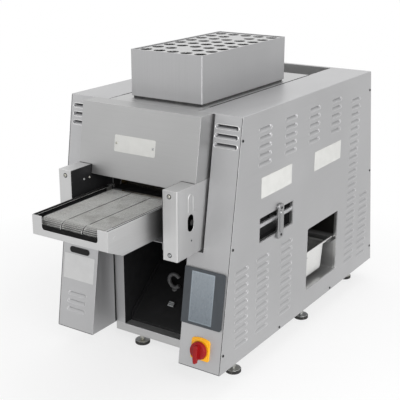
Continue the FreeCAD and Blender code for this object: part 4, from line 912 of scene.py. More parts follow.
@dataclass
class Cabinet:
    """Sheet-metal cabinet with its chassis, plates and screws."""

    screw_edge: float = 10.0
    screw_heights: tuple[float, ...] = (655.0, 357.0, 55.0)
    floor_screws: tuple[float, ...] = (350.0, 712.0)
    floor_screw_z: float = 8.0
    label_z: float = 494.0
    label_height: float = 62.0
    labels: tuple[tuple[float, float], ...] = ((309.0, 184.0), (649.5, 193.0))
    badge_place: tuple[float, float] = (-231.5, 249.5)
    foil_place: tuple[float, float] = (-231.0, 195.5)

    def build(self) -> None:
        """Dresses the sheets and makes the plates and screws."""
        dress(SIDE_SHEET, "left_side_panel", "right_side_panel", "rear_panel")
        dress(COLUMN_SHEET, "left_column", "right_column", "front_frame", "floor_pan")
        dress(DECK_SHEET, "top_deck", "rear_well")
        dress(ZINC, "foot_stems")
        dress(SILL_SHEET, "base_rails")
        self.screws()
        self.plates()

    def screws(self) -> None:
        """Socket screws on the brackets and along the edges of both sides, the side heads dark as painted shade."""
        shape = Shape()
        places = []
        for sign in (1, -1):
            for z in self.screw_heights:
                places.append(on_side(lean(z) + self.screw_edge, z, sign * HALF))
                places.append(on_side(rear(z) - self.screw_edge, z, sign * HALF))
            for y in self.floor_screws:
                places.append(on_side(y, self.floor_screw_z, sign * HALF))
            for z in BRACKET_SCREW_Z:
                shape.screw(at(sign * BRACKET_SCREW_X, -66.5, z), 1.35, 1.1, 1)
        # The dark heads of the side screws paint the shade of their holes.
        for place in places:
            shape.screw(place, 1.15, 0.98)
        shape.piece("socket_screws", [BLACK_SCREW, ZINC], "cabinet", "zinc_steel", "side_screws")

    def plates(self) -> None:
        """Bare film on the right side, and a round-ended plate with a raised rim over bare foil on the left column."""
        films = Shape()
        for y, width in self.labels:
            films.take(plate(rounded(width, self.label_height, 3.0), 0.5, 0.2, 2), on_side(y, self.label_z))
        films.piece("side_plates", [WHITE_FILM], "cabinet", "label_white", "side_labels")
        outer = rounded(77.0, 19.0, 9.4, 10)
        inner = rounded(73.0, 15.0, 7.4, 10)
        place = on_front(*self.badge_place)
        badge = Shape().take(plate(outer, 0.7, 0.2, 2), place).take(frame_plate(outer, inner, 1.0, 0.2), place, 1)
        badge.piece("bare_badge", [BADGE_BLACK, BLACK_PLASTIC], "cabinet", "badge_black", "column_badge")
        foil = Shape().take(plate(rounded(120.0, 80.0, 2.0), 0.3, 0.1, 1), on_front(*self.foil_place))
        foil.piece("bare_foil", [FOIL_FILM], "cabinet", "label_white")


@dataclass
class Louvres:
    """Rolled rims and curved scoops of every pressed louvre."""

    width: float = 73.0
    height: float = 13.0
    depth: float = 7.3
    pitch: float = 25.0
    upper_top: float = 672.0
    upper_y: tuple[float, ...] = (198.0, 353.0, 508.0, 663.0)
    upper_rows: int = 5
    tall_y: float = 818.0
    tall_top: float = 647.0
    tall_rows: int = 24
    low_y: tuple[float, ...] = (78.0, 198.0, 345.0, 925.0)
    low_top: float = 285.0
    low_rows: int = 10
    front_x: float = 216.0
    front_top: float = 693.0
    left_x: float = 196.0
    left_top: float = 118.0
    front_rows: int = 3
    rear_x: float = 60.0
    rear_top: float = 540.0
    rear_rows: int = 6
    # How far the rim stands outside the pressed edge, and its Y.
    rim: tuple[tuple[float, float], ...] = (
        (2.0, -0.02), (1.5, -0.6), (0.6, -0.9), (-0.1, -0.6), (-0.5, 0.2), (-0.6, 1.3),
    )
    # Distances from the end of a louvre at which its floor has points, and over which it deepens.
    floor_steps: tuple[float, ...] = (0.0, 0.4, 1.2, 2.6, 4.6, 6.5, 9.0, 20.0, 36.5)
    shallow: float = 0.4
    easing: float = 8.6
    proud: float = 0.25

    def build(self) -> None:
        """Lines the louvres of each sheet, in that sheet's finish, with painted shade on their floors and a painted
        highlight on the upper front rims.
        """
        right, left, fronts, rears = Shape(), Shape(), Shape(), Shape()
        upper = self.rows(self.upper_y, self.upper_top, self.upper_rows)
        for y, top in upper + self.rows((self.tall_y,), self.tall_top, self.tall_rows):
            for shape, x in ((right, HALF), (left, -HALF)):
                self.scoop(shape, on_side(y + self.width / 2, top - self.height / 2, x), 1)
        for y, top in self.rows(self.low_y, self.low_top, self.low_rows):
            self.scoop(right, on_side(y + self.width / 2, top - self.height / 2), 1)
        sides = [SIDE_SHEET, SHADED_SHEET]
        right.piece("right_louvres", sides, "cabinet", "stainless")
        left.piece("left_louvres", sides, "cabinet", "stainless")
        for row in range(self.front_rows):
            for x, top, floor, rim in (
                (self.front_x, self.front_top, 1, 0), (-self.front_x - self.width, self.front_top, 1, 0),
                (-self.left_x - self.width, self.left_top, 2, 3),
            ):
                z = top - row * self.pitch - self.height / 2 * math.cos(FRONT_TILT)
                self.scoop(fronts, on_front(x + self.width / 2, z), floor, rim)
        # Front floors in darker steel as painted shade, upper front rims in brighter steel as a painted highlight.
        finishes = [LIT_RIM_SHEET, POCKET_SHADE_SHEET, SHADED_SHEET, COLUMN_SHEET]
        fronts.piece("front_louvres", finishes, "cabinet", "stainless")
        for row in range(self.rear_rows):
            for x in (self.rear_x, -self.rear_x - self.width):
                self.scoop(rears, on_rear(-x - self.width / 2, self.rear_top - row * self.pitch - self.height / 2), 1)
        rears.piece("rear_louvres", sides, "cabinet", "stainless")

    def rows(self, starts: tuple[float, ...], top: float, count: int) -> list[tuple[float, float]]:
        """Start and upper edge of each louvre in columns that have so many rows."""
        return [(y, top - row * self.pitch) for y in starts for row in range(count)]

    def scoop(self, shape: Shape, place: Matrix, finish: int, rim: int = 0) -> None:
        """One rolled rim with a curved floor that is deepest under the upper edge.

        Args:
            shape: Shape that gets it.
            place: Middle of the louvre on its sheet.
            finish: Which finish its floor has.
            rim: Which finish its rim has.
        """
        rings = []
        for grow, y in self.rim:
            height = self.height + 2 * grow
            rings.append([(x, y, z) for x, z in rounded(self.width + 2 * grow, height, height / 2, 5)])
        shape.take(lofted(rings, ends=False), place, rim)
        floor = bmesh.new()
        half = self.width / 2
        radius = self.height / 2
        columns = [step - half for step in self.floor_steps]
        columns += [-x for x in reversed(columns[:-1])]
        grid = []
        for x in columns:
            inset = half - abs(x)
            reach = math.sqrt(max(radius ** 2 - max(radius - inset, 0.0) ** 2, 0.0))
            eased = min(max((inset - self.shallow) / self.easing, 0.0), 1.0)
            eased = eased * eased * (3 - 2 * eased)
            line = []
            for z in (reach * (row / 2 - 1) for row in range(5)):
                rise = (z + radius) / self.height
                line.append(floor.verts.new((x, self.depth * eased * rise - self.proud * (1 - rise), z)))
            grid.append(line)
        for first, second in zip(grid, grid[1:]):
            for row in range(4):
                floor.faces.new((first[row], second[row], second[row + 1], first[row + 1]))
        shape.take(floor, place, finish)


@dataclass
class ShadeGaps:
    """Near-black strips in the joints between the sheets, painted as the shade of those gaps."""

    strip: float = 1.6
    thick: float = 0.12
    column_x: float = 298.2
    sill: tuple[float, float] = (230.0, 137.0)
    # Middle and half width on either side, Y from and to, Z from and to, edge.
    strips: tuple[tuple[float, ...], ...] = (
        (180.0, 23.0, 21.4, 24.1, 541.0, 541.3, 0.1),
        (156.0, 2.6, 172.0, 784.0, 719.0, 720.1, 0.04),
        (160.0, 0.2, 111.5, 117.9, 3.0, 330.0, 0.05),
        (140.6, 14.4, 117.2, 117.8, 452.0, 539.0, 0.1),
    )

    def build(self) -> None:
        """Painted shade strips at the edges of the columns, over the brackets, beside the deck, and at the bay and the
        feed mouth.
        """
        shape = Shape()
        length = BODY_H / math.cos(FRONT_TILT) - 6.0
        for sign in (1, -1):
            upright = rounded(self.strip, length, 0.2, 1)
            shape.take(plate(upright, self.thick), on_front(sign * self.column_x, BODY_H / 2))
            x, width = self.sill
            shape.take(plate(rounded(width, self.strip, 0.2, 1), self.thick), on_front(sign * x, 1.0))
            for x, half, y_0, y_1, z_0, z_1, edge in self.strips:
                shape.take(block((sign * x - half, y_0, z_0), (sign * x + half, y_1, z_1), edge, 1))
        shape.piece("painted_shade_gaps", [SHADE_STRIP], "cabinet", "seal")


@dataclass
class Feet:
    """Six levelling feet: rubber pad in a steel cup on a stud."""

    places: tuple[tuple[float, float], ...] = (
        (-92.0, 163.0), (247.0, 163.0), (-92.0, 606.0), (247.0, 606.0), (-92.0, 1005.0), (225.0, 1005.0),
    )
    ground: float = -75.0

    def build(self) -> None:
        """Turned pads with a grip groove, and a pressed cup over each."""
        shape = Shape()
        pad = [(0.0, 0.0), (21.0, 0.0), (22.6, 0.4), (23.8, 1.6), (24.0, 3.0), (24.0, 5.0), (23.0, 6.0), (23.0, 7.0),
               (24.0, 8.0), (24.0, 10.4), (23.2, 11.4), (0.0, 11.4)]
        cup = [(0.0, 11.4), (22.6, 11.4), (23.0, 11.7), (22.6, 12.4), (20.6, 13.2), (15.0, 13.7), (11.0, 14.0),
               (0.0, 14.0)]
        for x, y in self.places:
            for finish, profile in enumerate((pad, cup)):
                shape.take(turned(profile, 48), at(x, y, self.ground, UPRIGHT), finish)
        shape.piece("levelling_pads", [RUBBER, ZINC], "cabinet", "rubber", "foot_pads")


@dataclass
class FrontCover:
    """Folded cover over the feed mouth with its bare plate."""

    plate_x: float = -8.0
    plate_z: float = 614.0
    proud: float = 59.0
    screw_x: float = 64.5

    def build(self) -> None:
        """Dresses the cover, and makes the plate with its two screws."""
        dress(COVER_SHEET, "front_cover")
        place = on_front(self.plate_x, self.plate_z, self.proud)
        bare = Shape().take(plate(rounded(143.0, 48.5, 4.0), 1.0, 0.3, 2), place)
        bare.piece("bare_cover_plate", [WHITE_FILM], "cover", "label_white", "cover_plate")
        heads = Shape()
        for x in (-self.screw_x, self.screw_x):
            heads.screw(place @ at(x, -0.7, 0.0))
        heads.piece("plate_screws", [ZINC], "cover", "zinc_steel", "cover_screws")


@dataclass
class Brackets:
    """Feed brackets with their dark guides, ledges and pins."""

    slot_y: float = -1.5
    outer_x: float = 206.0
    inner_x: float = 158.5
    ridge: float = 1.5
    ridge_reach: float = 11.5
    ridge_foot: float = 470.0
    ridge_top: float = 508.0

    def build(self) -> None:
        """Dresses the folded sheets, and adds the pressed ridges, rivets, washers dark as a painted shadow ring under
        the screws, and guide screws.
        """
        dress(BRACKET_SHEET, "left_bracket", "right_bracket")
        dress(BLACK_COAT, "left_feed_guide", "right_feed_guide")
        dress(INNER_SHEET, "tray_ledges")
        dress(DARK_ROLLER, "tray_pins")
        shape = Shape()
        rivet = [(2.6, 0.0), (2.4, 0.5), (1.4, 0.9), (0.0, 1.0)]
        washer = [(0.0, 0.0), (6.8, 0.0), (6.8, 0.3), (6.4, 0.5), (0.0, 0.5)]
        for sign in (1, -1):
            shape.take(tube(self.arch(), self.ridge, 10), at(sign * self.outer_x, 0.0, 0.0))
            shape.take(turned(rivet, 20), on_side(self.slot_y + 3.0, 386.0, sign * self.outer_x), 2)
            # Dark washers paint the shadow ring round each bracket screw.
            for z in BRACKET_SCREW_Z:
                shape.take(turned(washer, 32), at(sign * BRACKET_SCREW_X, -66.0, z), 2)
            for y in (-12.0, 12.4):
                shape.screw(at(sign * self.inner_x, y, 504.0, -sign * math.pi / 2, "Z"), finish=1)
        shape.piece("bracket_pressings", [BRACKET_SHEET, ZINC, BLACK_SCREW], "cabinet", "stainless")

    def arch(self) -> list[Vector]:
        """Path of the half-round ridge pressed over the slot, with its foot turned to the rear.

        Returns:
            Points of the path.
        """
        front, back = self.slot_y - self.ridge_reach, self.slot_y + self.ridge_reach
        turns = [math.pi - math.pi * step / 9 for step in range(1, 9)]
        bend = [(self.slot_y + self.ridge_reach * math.cos(turn), self.ridge_top + self.ridge_reach * math.sin(turn))
                for turn in turns]
        places = [(front, self.ridge_foot), (front, self.ridge_top), *bend, (back, self.ridge_top),
                  (back, self.ridge_foot), (back + 12.0, self.ridge_foot - 2.0)]
        return [Vector((0.0, y, z)) for y, z in places]


@dataclass
class FeedTray:
    """Feed tray with three endless wire belts."""

    belts: int = 3
    half: float = 108.0
    gap: float = 3.0
    front: tuple[float, float] = (-232.0, 448.5)
    back: tuple[float, float] = (50.0, 448.5)
    reach: float = 16.85
    rod_pitch: float = 5.0
    rod: float = 0.6
    turn_pitch: float = 3.4
    wire: float = 0.5
    wall_x: float = 128.4
    # The black strips paint the shade under the belt noses, beside the belts and on the inner walls.
    # Lower and upper corner, edge and its faces.
    strips: tuple[tuple[Point, Point, float, int], ...] = (
        ((-126.9, -258.7, 433.0), (126.9, -257.9, 450.5), 0.2, 2),
        ((-127.3, -258.0, 474.0), (-115.9, 52.0, 474.5), 0.15, 2),
        ((123.4, -258.0, 474.0), (126.0, 52.0, 474.4), 0.15, 2),
        ((116.3, -227.0, 474.0), (118.0, 52.0, 474.4), 0.15, 2),
        ((-127.3, -256.0, 434.0), (-126.8, 50.0, 472.6), 0.1, 1),
        ((126.8, -256.0, 434.0), (127.3, 50.0, 472.6), 0.1, 1),
    )

    def build(self) -> None:
        """Dresses the tray and its rollers, and weaves the belts."""
        dress(TRAY_SHEET, "feed_tray")
        dress(BLACK_COAT, "slider_bed", "transfer_plate")
        dress(DARK_ROLLER, "front_roller", "drive_roller")
        width = (2 * self.half - (self.belts - 1) * self.gap) / self.belts
        for index in range(self.belts):
            self.belt(index + 1, index * (width + self.gap) - self.half, width)
        self.painted_shade_strips()

    def painted_shade_strips(self) -> None:
        """Black strips of painted shade under the belt noses, on the flanges and inside the walls, and caps over the
        journals.
        """
        shape = Shape()
        for strip in self.strips:
            shape.take(block(*strip))
        cap = [(0.0, 0.0), (6.6, 0.0), (6.4, 0.3), (5.8, 0.4), (0.0, 0.4)]
        for x in (-self.wall_x, self.wall_x):
            for y, z in (self.front, self.back):
                shape.take(turned(cap, 32), on_side(y, z, x), 1)
        shape.piece("painted_shade_strips", [SHADE_STRIP, TRAY_SHEET], "tray", "seal")

    def belt(self, number: int, start: float, width: float) -> None:
        """One endless belt of cross rods and flattened spirals.

        Args:
            number: Its number from the left.
            start: X of its left edge.
            width: Its width.
        """
        shape = Shape()
        length = 2 * (self.back[0] - self.front[0] + math.pi * self.reach)
        rows = round(length / self.rod_pitch)
        turns = round(width / self.turn_pitch) * 2
        step = length / rows
        loop = (self.front, self.back, self.reach)
        for row in range(rows):
            place = round_loop(*loop, row * step)
            shape.take(tube([Vector((x, *place)) for x in (start, start + width)], self.rod, 6))
            path = []
            for k in range(turns + 1):
                share, lift = (0.98, 0.19) if k % 2 else (0.02, -0.15)
                place = round_loop(*loop, (row + share) * step, lift)
                path.append(Vector((start + 0.5 + k * (width - 1.0) / turns, *place)))
            shape.take(tube(path, self.wire, 4))
        shape.piece(f"wire_belt_{number}", [WIRE], "tray", "belt_mesh", "feed_belts", sharp=60.0)


@dataclass
class ExhaustHood:
    """Exhaust duct with its perforated plate and seal."""

    left: float = -113.0
    right: float = 135.0
    front: float = 162.0
    back: float = 646.0
    lining_z: tuple[float, float] = (728.0, 855.0)
    hole: float = 15.0
    # Width of the painted shade ring round each hole.
    tint: float = 2.2
    columns: tuple[float, ...] = (-83.0, -36.0, 11.0, 58.0, 105.0)
    rows: int = 8
    first_row: float = 199.0
    row_step: float = 410.0 / 7
    plate_z: float = 859.5
    closed_holes: tuple[tuple[int, int], ...] = ((2, 1), (2, 6))

    def build(self) -> None:
        """Dresses the folded duct, the plate and the seal, and lines the duct in black as painted shade."""
        dress(HOOD_SHEET, "exhaust_hood")
        dress(GRILLE_SHEET, "hood_grille")
        dress(SEAL, "hood_gasket")
        # Black plates inside the duct paint the shade seen through the holes.
        shape = Shape()
        low, high = self.lining_z
        for x in (self.left + 1.7, self.right - 2.1):
            shape.take(block((x, self.front + 2.0, low), (x + 0.4, self.back - 2.0, high), 0.1, 1))
        for y in (self.front + 1.7, self.back - 2.1):
            shape.take(block((self.left + 2.0, y, low), (self.right - 2.0, y + 0.4, high), 0.1, 1))
        shape.piece("duct_painted_shade_lining", [BLACK_COAT], "hood", "seal")
        self.hole_shade_rims()

    def hole_shade_rims(self) -> None:
        """Dark ring of painted shade round each hole of the plate."""
        shape = Shape()
        outer = self.hole + self.tint
        section = [(self.hole, 0.0), (outer, 0.0), (outer, 0.15), (self.hole, 0.15)]
        for column, x in enumerate(self.columns):
            for row in range(self.rows):
                if (column, row) not in self.closed_holes:
                    place = at(x, self.first_row + row * self.row_step, self.plate_z, UPRIGHT)
                    shape.take(turned(section, closed=True), place)
        shape.piece("painted_hole_shade_rims", [SHADE_STRIP], "hood", "seal")


@dataclass
class TouchScreen:
    """Touch screen: moulded frame with a flush pane."""

    middle: tuple[float, float] = (226.0, 207.5)
    size: tuple[float, float] = (132.0, 162.9)
    pane_middle: tuple[float, float] = (221.5, 206.5)
    pane: tuple[float, float] = (77.0, 148.7)
    border: float = 4.0

    def build(self) -> None:
        """Frame with round right corners, dark border glass and the lit pane inside it."""
        place = on_front(*self.middle)
        outer = rounded(*self.size, (8.0, 8.0, 1.0, 1.0))
        opening = self.pane_outline(0.0, 1.5)
        shape = Shape().take(frame_plate(outer, opening, 4.0, 1.2), place)
        shape.piece("screen_frame", [BEZEL_PLASTIC], "cabinet", "bezel_plastic", "screen_bezel")
        active = self.pane_outline(self.border, 1.0)
        pane = Shape().take(plate(opening, 3.3, 0.3, 2), place).take(plate(active, 3.4, 0.05, 1), place, 1)
        pane.piece("screen_pane", [PANE_EDGE, PANE], "cabinet", "glass", "screen_glass")
        dress(BLACK_PLASTIC, "screen_case")

    def pane_outline(self, inset: float, radius: float) -> Outline:
        """Outline of the pane from the middle of the frame, so far inside its edge.

        Args:
            inset: How far inside the edge of the pane.
            radius: Radius of its corners.

        Returns:
            Outline from the middle of the frame.
        """
        shift_x = self.pane_middle[0] - self.middle[0]
        shift_z = (self.pane_middle[1] - self.middle[1]) / math.cos(FRONT_TILT)
        width, height = (side - 2 * inset for side in self.pane)
        return [(x + shift_x, z + shift_z) for x, z in rounded(width, height, radius)]


@dataclass
class MainSwitch:
    """Main switch: arched yellow plate and red knob with a tapered grip."""

    x: float = 231.0
    z: float = 59.5
    width: float = 62.0
    height: float = 60.0
    arch: float = 6.0
    thick: float = 4.0
    crown: tuple[float, ...] = (19.0, 12.0, 4.0, -4.0, -12.0, -19.0)

    def build(self) -> None:
        """Plate with a raised collar, and knob with a skirt and a grip bar."""
        place = on_front(self.x, self.z)
        low, seat = self.thick, self.thick + 0.3
        collar = [(30.0, low - 1.4), (29.4, low - 0.3), (28.4, low - 0.02), (27.2, low - 0.02), (26.6, low - 0.8),
                  (6.0, low - 0.8)]
        face = Shape().take(plate(self.plate_outline(), low - 0.6, 1.2, 4), place).take(turned(collar, 64), place)
        face.piece("switch_face", [YELLOW_PLASTIC], "cabinet", "yellow_plastic", "switch_plate")
        skirt = [(0.0, seat), (20.0, seat), (20.4, seat + 3.6), (25.8, seat + 4.0), (26.4, seat + 4.8),
                 (26.2, seat + 7.0), (25.2, seat + 12.0), (24.5, seat + 14.6), (23.6, seat + 15.7),
                 (22.2, seat + 16.0), (0.0, seat + 16.0)]
        half = [(3.0, 18.6), (6.2, 17.0), (7.4, 14.0), (7.5, 0.0), (7.4, -13.0), (4.0, -33.0), (3.0, -34.6)]
        bar = half[3:] + [(-x, z) for x, z in reversed(half)] + half[:3]
        grip = Shape().take(turned(skirt, 64), place)
        grip.take(plate(bar, 13.0, 2.4, 4), place @ at(0.0, -seat - 14.8, 0.0))
        grip.piece("switch_grip", [RED_PLASTIC], "knob", "red_plastic", "switch_knob")
        dress(BLACK_PLASTIC, "switch_body")

    def plate_outline(self) -> Outline:
        """Outline of the plate, with round corners and an arched upper edge.

        Returns:
            Outline from the middle of the plate.
        """
        outline = rounded(self.width, self.height, 6.0)
        # The lower and the upper right corner come first, with seven points each.
        flat = outline[:14] + [(x, self.height / 2) for x in self.crown] + outline[14:]
        half = self.width / 2
        return [(x, z + self.arch * max(0.0, 1 - (x / half) ** 2) if z > 0 else z) for x, z in flat]


@dataclass(frozen=True)
class FoldedReturn:
    """Edge of the right side sheet folded inward round an opening, in brighter steel as a painted highlight."""

    low: tuple[float, float]
    high: tuple[float, float]
    gap: tuple[float, float] | None = None
    inner_x: float = 288.0
    outer_x: float = 298.3
    thick: float = 1.2
    clear: float = 0.2

    def build(self, name: str) -> None:
        """Strips round the opening, the upright ones left out between the gap's heights.

        Args:
            name: Name of the piece.
        """
        y_0, z_0 = (corner + self.clear for corner in self.low)
        y_1, z_1 = (corner - self.clear - self.thick for corner in self.high)
        shape = Shape()
        for z in (z_0, z_1):
            low, high = (self.inner_x, y_0, z), (self.outer_x, y_1 + self.thick, z + self.thick)
            shape.take(block(low, high, 0.3, 1))
        ends = (z_0 + self.thick, *(self.gap or ()), z_1)
        for y in (y_0, y_1):
            for start, end in zip(ends[::2], ends[1::2]):
                shape.take(block((self.inner_x, y, start), (self.outer_x, y + self.thick, end), 0.3, 1))
        shape.piece(name, [LIT_RIM_SHEET], "cabinet", "stainless")


@dataclass
class SlideWindow:
    """Window in the right side with a rod and an upright handle."""

    middle: tuple[float, float] = (327.5, 366.0)
    face_x: float = 300.8
    screw_z: float = 42.0
    opening: FoldedReturn = FoldedReturn((212.0, 330.0), (418.0, 405.0))

    def build(self) -> None:
        """Cast handle with a raised middle and two screws, on a sliding block."""
        dress(BLACK_COAT, "slide_recess")
        dress(BRIGHT_BAR, "guide_rod")
        shape = Shape()
        place = on_side(*self.middle, self.face_x)
        shape.take(plate(rounded(33.0, 107.0, 8.0), 8.0, 3.2, 4), place)
        shape.take(plate(rounded(18.0, 70.0, 8.8, 8), 12.0, 3.2, 4), place)
        shape.take(block((275.0, 312.5, 362.0), (self.face_x + 1.0, 342.5, 386.0), 1.0))
        for z in (-self.screw_z, self.screw_z):
            shape.screw(place @ at(0.0, -7.8, z), 1.2, finish=1)
        shape.piece("slide_grip", [HANDLE_STEEL, BLACK_SCREW], "slider", "stainless", "slide_handle")
        self.opening.build("window_return")


@dataclass
class PanBay:
    """Bay in the right side with its deep drawn pan."""

    middle: Point = (120.5, 620.0, 177.8)
    half: tuple[float, float] = (157.5, 86.0)
    # How far the pan stands outside its half sizes, its corner radius, and its height over the runners.
    levels: tuple[Point, ...] = (
        (-16.0, 13.0, -93.8), (-8.6, 18.0, -90.6), (-6.4, 20.0, -83.0), (-1.7, 20.6, -3.0), (-1.2, 20.8, 0.2),
        (-0.4, 21.2, 1.1), (4.4, 26.4, 1.2), (5.0, 27.0, 0.6), (4.6, 26.6, -0.1), (0.8, 22.8, -0.1),
        (0.0, 22.0, -3.0), (-5.0, 21.0, -83.0), (-7.2, 19.0, -91.6), (-15.0, 14.0, -95.0),
    )
    opening: FoldedReturn = FoldedReturn((525.0, 67.0), (750.0, 278.0), (175.4, 178.0))

    def build(self) -> None:
        """Dresses the bay and its runners, and draws the pan with the bar on its front."""
        dress(BAY_SHEET, "pan_bay")
        dress(RUNNER_SHEET, "pan_runners")
        rings = []
        for grow, corner, z in self.levels:
            width, depth = (2 * (half + grow) for half in self.half)
            rings.append([(x, y, z) for x, y in rounded(width, depth, corner, 8)])
        shape = Shape().take(lofted(rings), Matrix.Translation(self.middle))
        shape.take(block((279.0, 527.8, 178.2), (285.0, 746.8, 184.6), 1.6))
        shape.piece("drawn_pan", [PAN_STEEL], "pan", "stainless", "grease_pan")
        self.opening.build("bay_return")


@dataclass
class DischargeBay:
    """Dark discharge bay with its chute, grip and catch."""

    grip: tuple[float, float] = (-27.0, 252.0)
    catch: tuple[float, float] = (-9.0, 210.0)
    slope: float = 288.0 / 350.0
    edge: tuple[float, float] = (150.0, 10.0)

    def on_chute(self, x: float, y: float) -> Matrix:
        """Matrix that stands a form on the face of the chute."""
        return at(x, y, self.edge[1] + (y - self.edge[0]) * self.slope, math.atan(self.slope))

    def build(self) -> None:
        """Dresses the bay, and makes the bent grip and the catch."""
        dress(BLACK_COAT, "bay_liner", "discharge_chute")
        dress(HOT_SHEET, "return_slide")
        dress(DARK_SHAFT, "chute_bar")
        shape = Shape()
        turns = [math.radians(35.0 + 290.0 * step / 32) for step in range(33)]
        ring = [Vector((21.0 * math.cos(turn), 0.0, 28.0 + 22.0 * math.sin(turn))) for turn in turns]
        seat = self.on_chute(*self.grip)
        shape.take(tube(ring, 6.2, 20), Matrix.Translation(seat.translation))
        foot = [(0.0, 0.0), (9.6, 0.0), (9.6, 1.2), (8.0, 2.4), (6.0, 3.4), (0.0, 3.4)]
        shape.take(turned(foot, 28), seat @ Matrix.Rotation(UPRIGHT, 4, "X"))
        place = self.on_chute(*self.catch)
        shape.take(block((-11.0, -9.0, 0.0), (11.0, 9.0, 6.4), 1.4, 3), place, 1)
        for y in (-5.6, 0.0, 5.6):
            shape.take(block((-10.0, y - 1.6, 5.0), (10.0, y + 1.6, 9.0), 1.0, 2), place, 1)
        shape.piece("chute_pull", [GRIP_PLASTIC, ZINC], "chute", "bright_steel", "chute_grip")


@dataclass
class Works:
    """What is inside: broil chamber, shafts, heaters, motor and chain."""

    low: tuple[float, float] = (610.0, 340.0)
    high: tuple[float, float] = (690.0, 442.2)
    reach: float = 24.2
    chain_x: float = 166.0
    pitch: float = 9.6
    link: float = 3.2
    inner: float = 1.3
    outer: float = 1.75

    def build(self) -> None:
        """Dresses the inner nodes and links the chain."""
        dress(HOT_SHEET, "chamber_walls")
        dress(DARK_SHAFT, "broil_front_shaft", "broil_rear_shaft", "drive_sprocket")
        dress(BROIL_WEAVE, "broil_belt")
        dress(QUARTZ, "heaters")
        dress(GREY_COAT, "drive_motor")
        dress(INNER_SHEET, "power_box")
        self.chain()

    def chain(self) -> None:
        """Roller chain: rollers on pins, with inner and outer link plates in turn."""
        shape = Shape()
        length = 2 * (math.dist(self.low, self.high) + math.pi * self.reach)
        count = round(length / self.pitch / 2) * 2
        axle = Matrix.Rotation(math.pi / 2, 4, "Z")
        roller = [(1.7, 0.0), (1.8, 0.2), (1.8, 2.4), (1.7, 2.6)]
        for index in range(count):
            here, there = (round_loop(self.low, self.high, self.reach, step * length / count)
                           for step in (index, index + 1))
            shape.take(turned(roller, 14), at(self.chain_x - self.inner, *here) @ axle)
            y, z = ((a + b) / 2 for a, b in zip(here, there))
            tilt = math.atan2(there[1] - here[1], there[0] - here[0])
            inset = self.inner if index % 2 else self.outer
            for x in (self.chain_x - inset - 0.2, self.chain_x + inset - 0.2):
                outline = rounded(math.dist(here, there) + self.link, self.link, 1.55, 4)
                shape.take(plate(outline, 0.4, 0.1, 1), at(x, y, z, tilt) @ axle)
        shape.piece("roller_chain", [DARK_SHAFT], "cabinet", "dark_steel", "drive_chain")


@dataclass
class CableGland:
    """Moulded gland in the rear panel, with a ribbed dome and a closed seal."""

    x: float = 220.0
    z: float = 60.0

    def build(self) -> None:
        """Flange, nut with six flats, ribbed dome nut and the seal inside."""
        place = on_rear(self.x, self.z)
        flange = [(0.0, -4.0), (10.6, -4.0), (10.6, 0.0), (14.8, 0.0), (14.9, 1.6), (14.2, 2.2), (0.0, 2.2)]
        nut = [(0.0, 2.0), (14.0, 2.0), (14.6, 2.8), (14.6, 6.2), (13.8, 7.0), (0.0, 7.0)]
        dome = [(0.0, 7.0), (10.8, 7.0), (10.9, 9.0), (10.9, 15.0), (9.8, 18.4), (8.2, 19.8), (6.6, 20.0), (6.2, 19.4),
                (6.2, 12.0), (0.0, 12.0)]
        seal = [(0.0, 12.0), (6.1, 12.0), (6.1, 17.6), (4.0, 18.6), (3.4, 17.0), (0.0, 16.6)]
        shape = Shape()
        for form, finish in ((turned(flange, 48), 0), (turned(nut, 6), 0), (turned(dome, 48, 0.35), 0),
                             (turned(seal, 32), 1)):
            shape.take(form, place, finish)
        shape.piece("moulded_gland", [BLACK_PLASTIC, RUBBER], "cabinet", "black_plastic", "cable_gland")


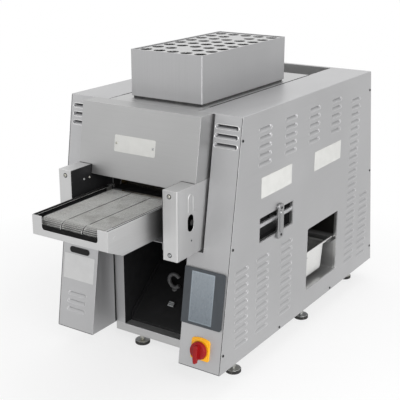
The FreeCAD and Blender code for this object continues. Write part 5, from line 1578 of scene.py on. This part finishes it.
@dataclass
class Studio:
    """Pale floor, soft lamps and the camera, all in metres."""

    lens: float = 79.15
    position: Point = (1.4549, -2.26994, 1.3111)
    pitch: float = 17.45
    yaw: float = 33.37
    shift_y: float = -0.025
    ambient: float = 0.55
    aim: Point = (0.0, 0.0, 0.45)
    # Place, side of the square and power in watts of each lamp.
    lamps: tuple[tuple[Point, float, float], ...] = (
        ((2.8, -2.2, 1.8), 2.6, 97.0),
        ((-2.4, -2.2, 2.0), 2.2, 10.0),
        ((0.2, 0.6, 3.2), 2.6, 30.0),
    )

    def build(self) -> None:
        """Sets everything up that isn't part of the object."""
        self.camera()
        self.surroundings()
        self.floor()
        for number, (place, size, power) in enumerate(self.lamps):
            self.lamp(number + 1, Vector(place), size, power)

    def camera(self) -> None:
        """Camera at the photograph's viewing angle."""
        data = bpy.data.cameras.new("studio_camera")
        data.lens = self.lens
        data.sensor_width = 36.0
        data.shift_y = self.shift_y
        data.clip_start = 0.05
        seen = placed("studio_camera", data)
        seen.location = self.position
        seen.rotation_euler = (math.radians(90.0 - self.pitch), 0.0, math.radians(self.yaw))
        bpy.context.scene.camera = seen
        bpy.context.scene.view_settings.view_transform = "Standard"

    def surroundings(self) -> None:
        """White backdrop for the eye, for gloss and for glass, and a softer grey light from all round."""
        bpy.context.scene.world = bpy.data.worlds.new("studio_air")
        tree = bare_tree(bpy.context.scene.world)
        strength = add(tree, "MapRange", {0: self.direct_sight(tree), 3: self.ambient, 4: 1.0}).outputs[0]
        air = add(tree, "Background", {"Color": WHITE, "Strength": strength})
        add(tree, "OutputWorld", {"Surface": air.outputs[0]})

    def direct_sight(self, tree: Tree) -> Socket:
        """Socket that is 1 for camera, glossy and transmission rays.

        Args:
            tree: Node tree of the material or world.

        Returns:
            Socket with 1 for those rays, and otherwise 0.
        """
        path = add(tree, "LightPath").outputs
        first = add(tree, "Math", {0: path["Is Camera Ray"], 1: path["Is Glossy Ray"]}, operation="MAXIMUM")
        both = add(tree, "Math", {0: first.outputs[0], 1: path["Is Transmission Ray"]}, operation="MAXIMUM")
        return both.outputs[0]

    def floor(self) -> None:
        """Wide pale floor that shows white away from the object and keeps its shadow."""
        part = bmesh.new()
        bmesh.ops.create_grid(part, x_segments=8, y_segments=8, size=9.0)
        data = bpy.data.meshes.new("studio_floor")
        part.to_mesh(data)
        part.free()
        paint = bpy.data.materials.new("painted_studio_floor")
        tree = bare_tree(paint)
        matt = add(tree, "BsdfDiffuse", {"Color": linear("#F4F4F4")})
        glow = add(tree, "Emission", {"Color": WHITE, "Strength": 1.0})
        place = add(tree, "TexCoord").outputs["Object"]
        away = add(tree, "VectorMath", {0: place}, operation="LENGTH").outputs["Value"]
        white = add(tree, "MapRange", {0: away, 1: 0.7, 2: 1.4, 3: 0.68, 4: 1.0}).outputs[0]
        share = add(tree, "Math", {0: self.direct_sight(tree), 1: white}, operation="MULTIPLY")
        mixed = add(tree, "MixShader", {0: share.outputs[0], 1: matt.outputs[0], 2: glow.outputs[0]})
        add(tree, "OutputMaterial", {"Surface": mixed.outputs[0]})
        data.materials.append(paint)
        placed("studio_floor", data)

    def lamp(self, number: int, place: Vector, size: float, power: float) -> None:
        """One soft square lamp that looks at the middle of the object.

        Args:
            number: Its number.
            place: Where it hangs.
            size: Side of its square.
            power: Its power in watts.
        """
        data = bpy.data.lights.new(f"soft_lamp_{number}", "AREA")
        data.shape = "SQUARE"
        data.size = size
        data.energy = power
        made = placed(f"soft_lamp_{number}", data)
        made.location = place
        made.rotation_euler = (Vector(self.aim) - place).to_track_quat("-Z", "Y").to_euler()


def main() -> None:
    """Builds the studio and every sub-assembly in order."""
    logging.basicConfig(level=logging.INFO, format="%(message)s")
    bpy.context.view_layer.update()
    for part in (
        Studio(), Cabinet(), Louvres(), ShadeGaps(), Feet(), FrontCover(), Brackets(), FeedTray(), ExhaustHood(),
        TouchScreen(), MainSwitch(), SlideWindow(), PanBay(), DischargeBay(), Works(), CableGland(),
    ):
        log.info("building %s", type(part).__name__)
        part.build()


if __name__ == "__main__":
    main()
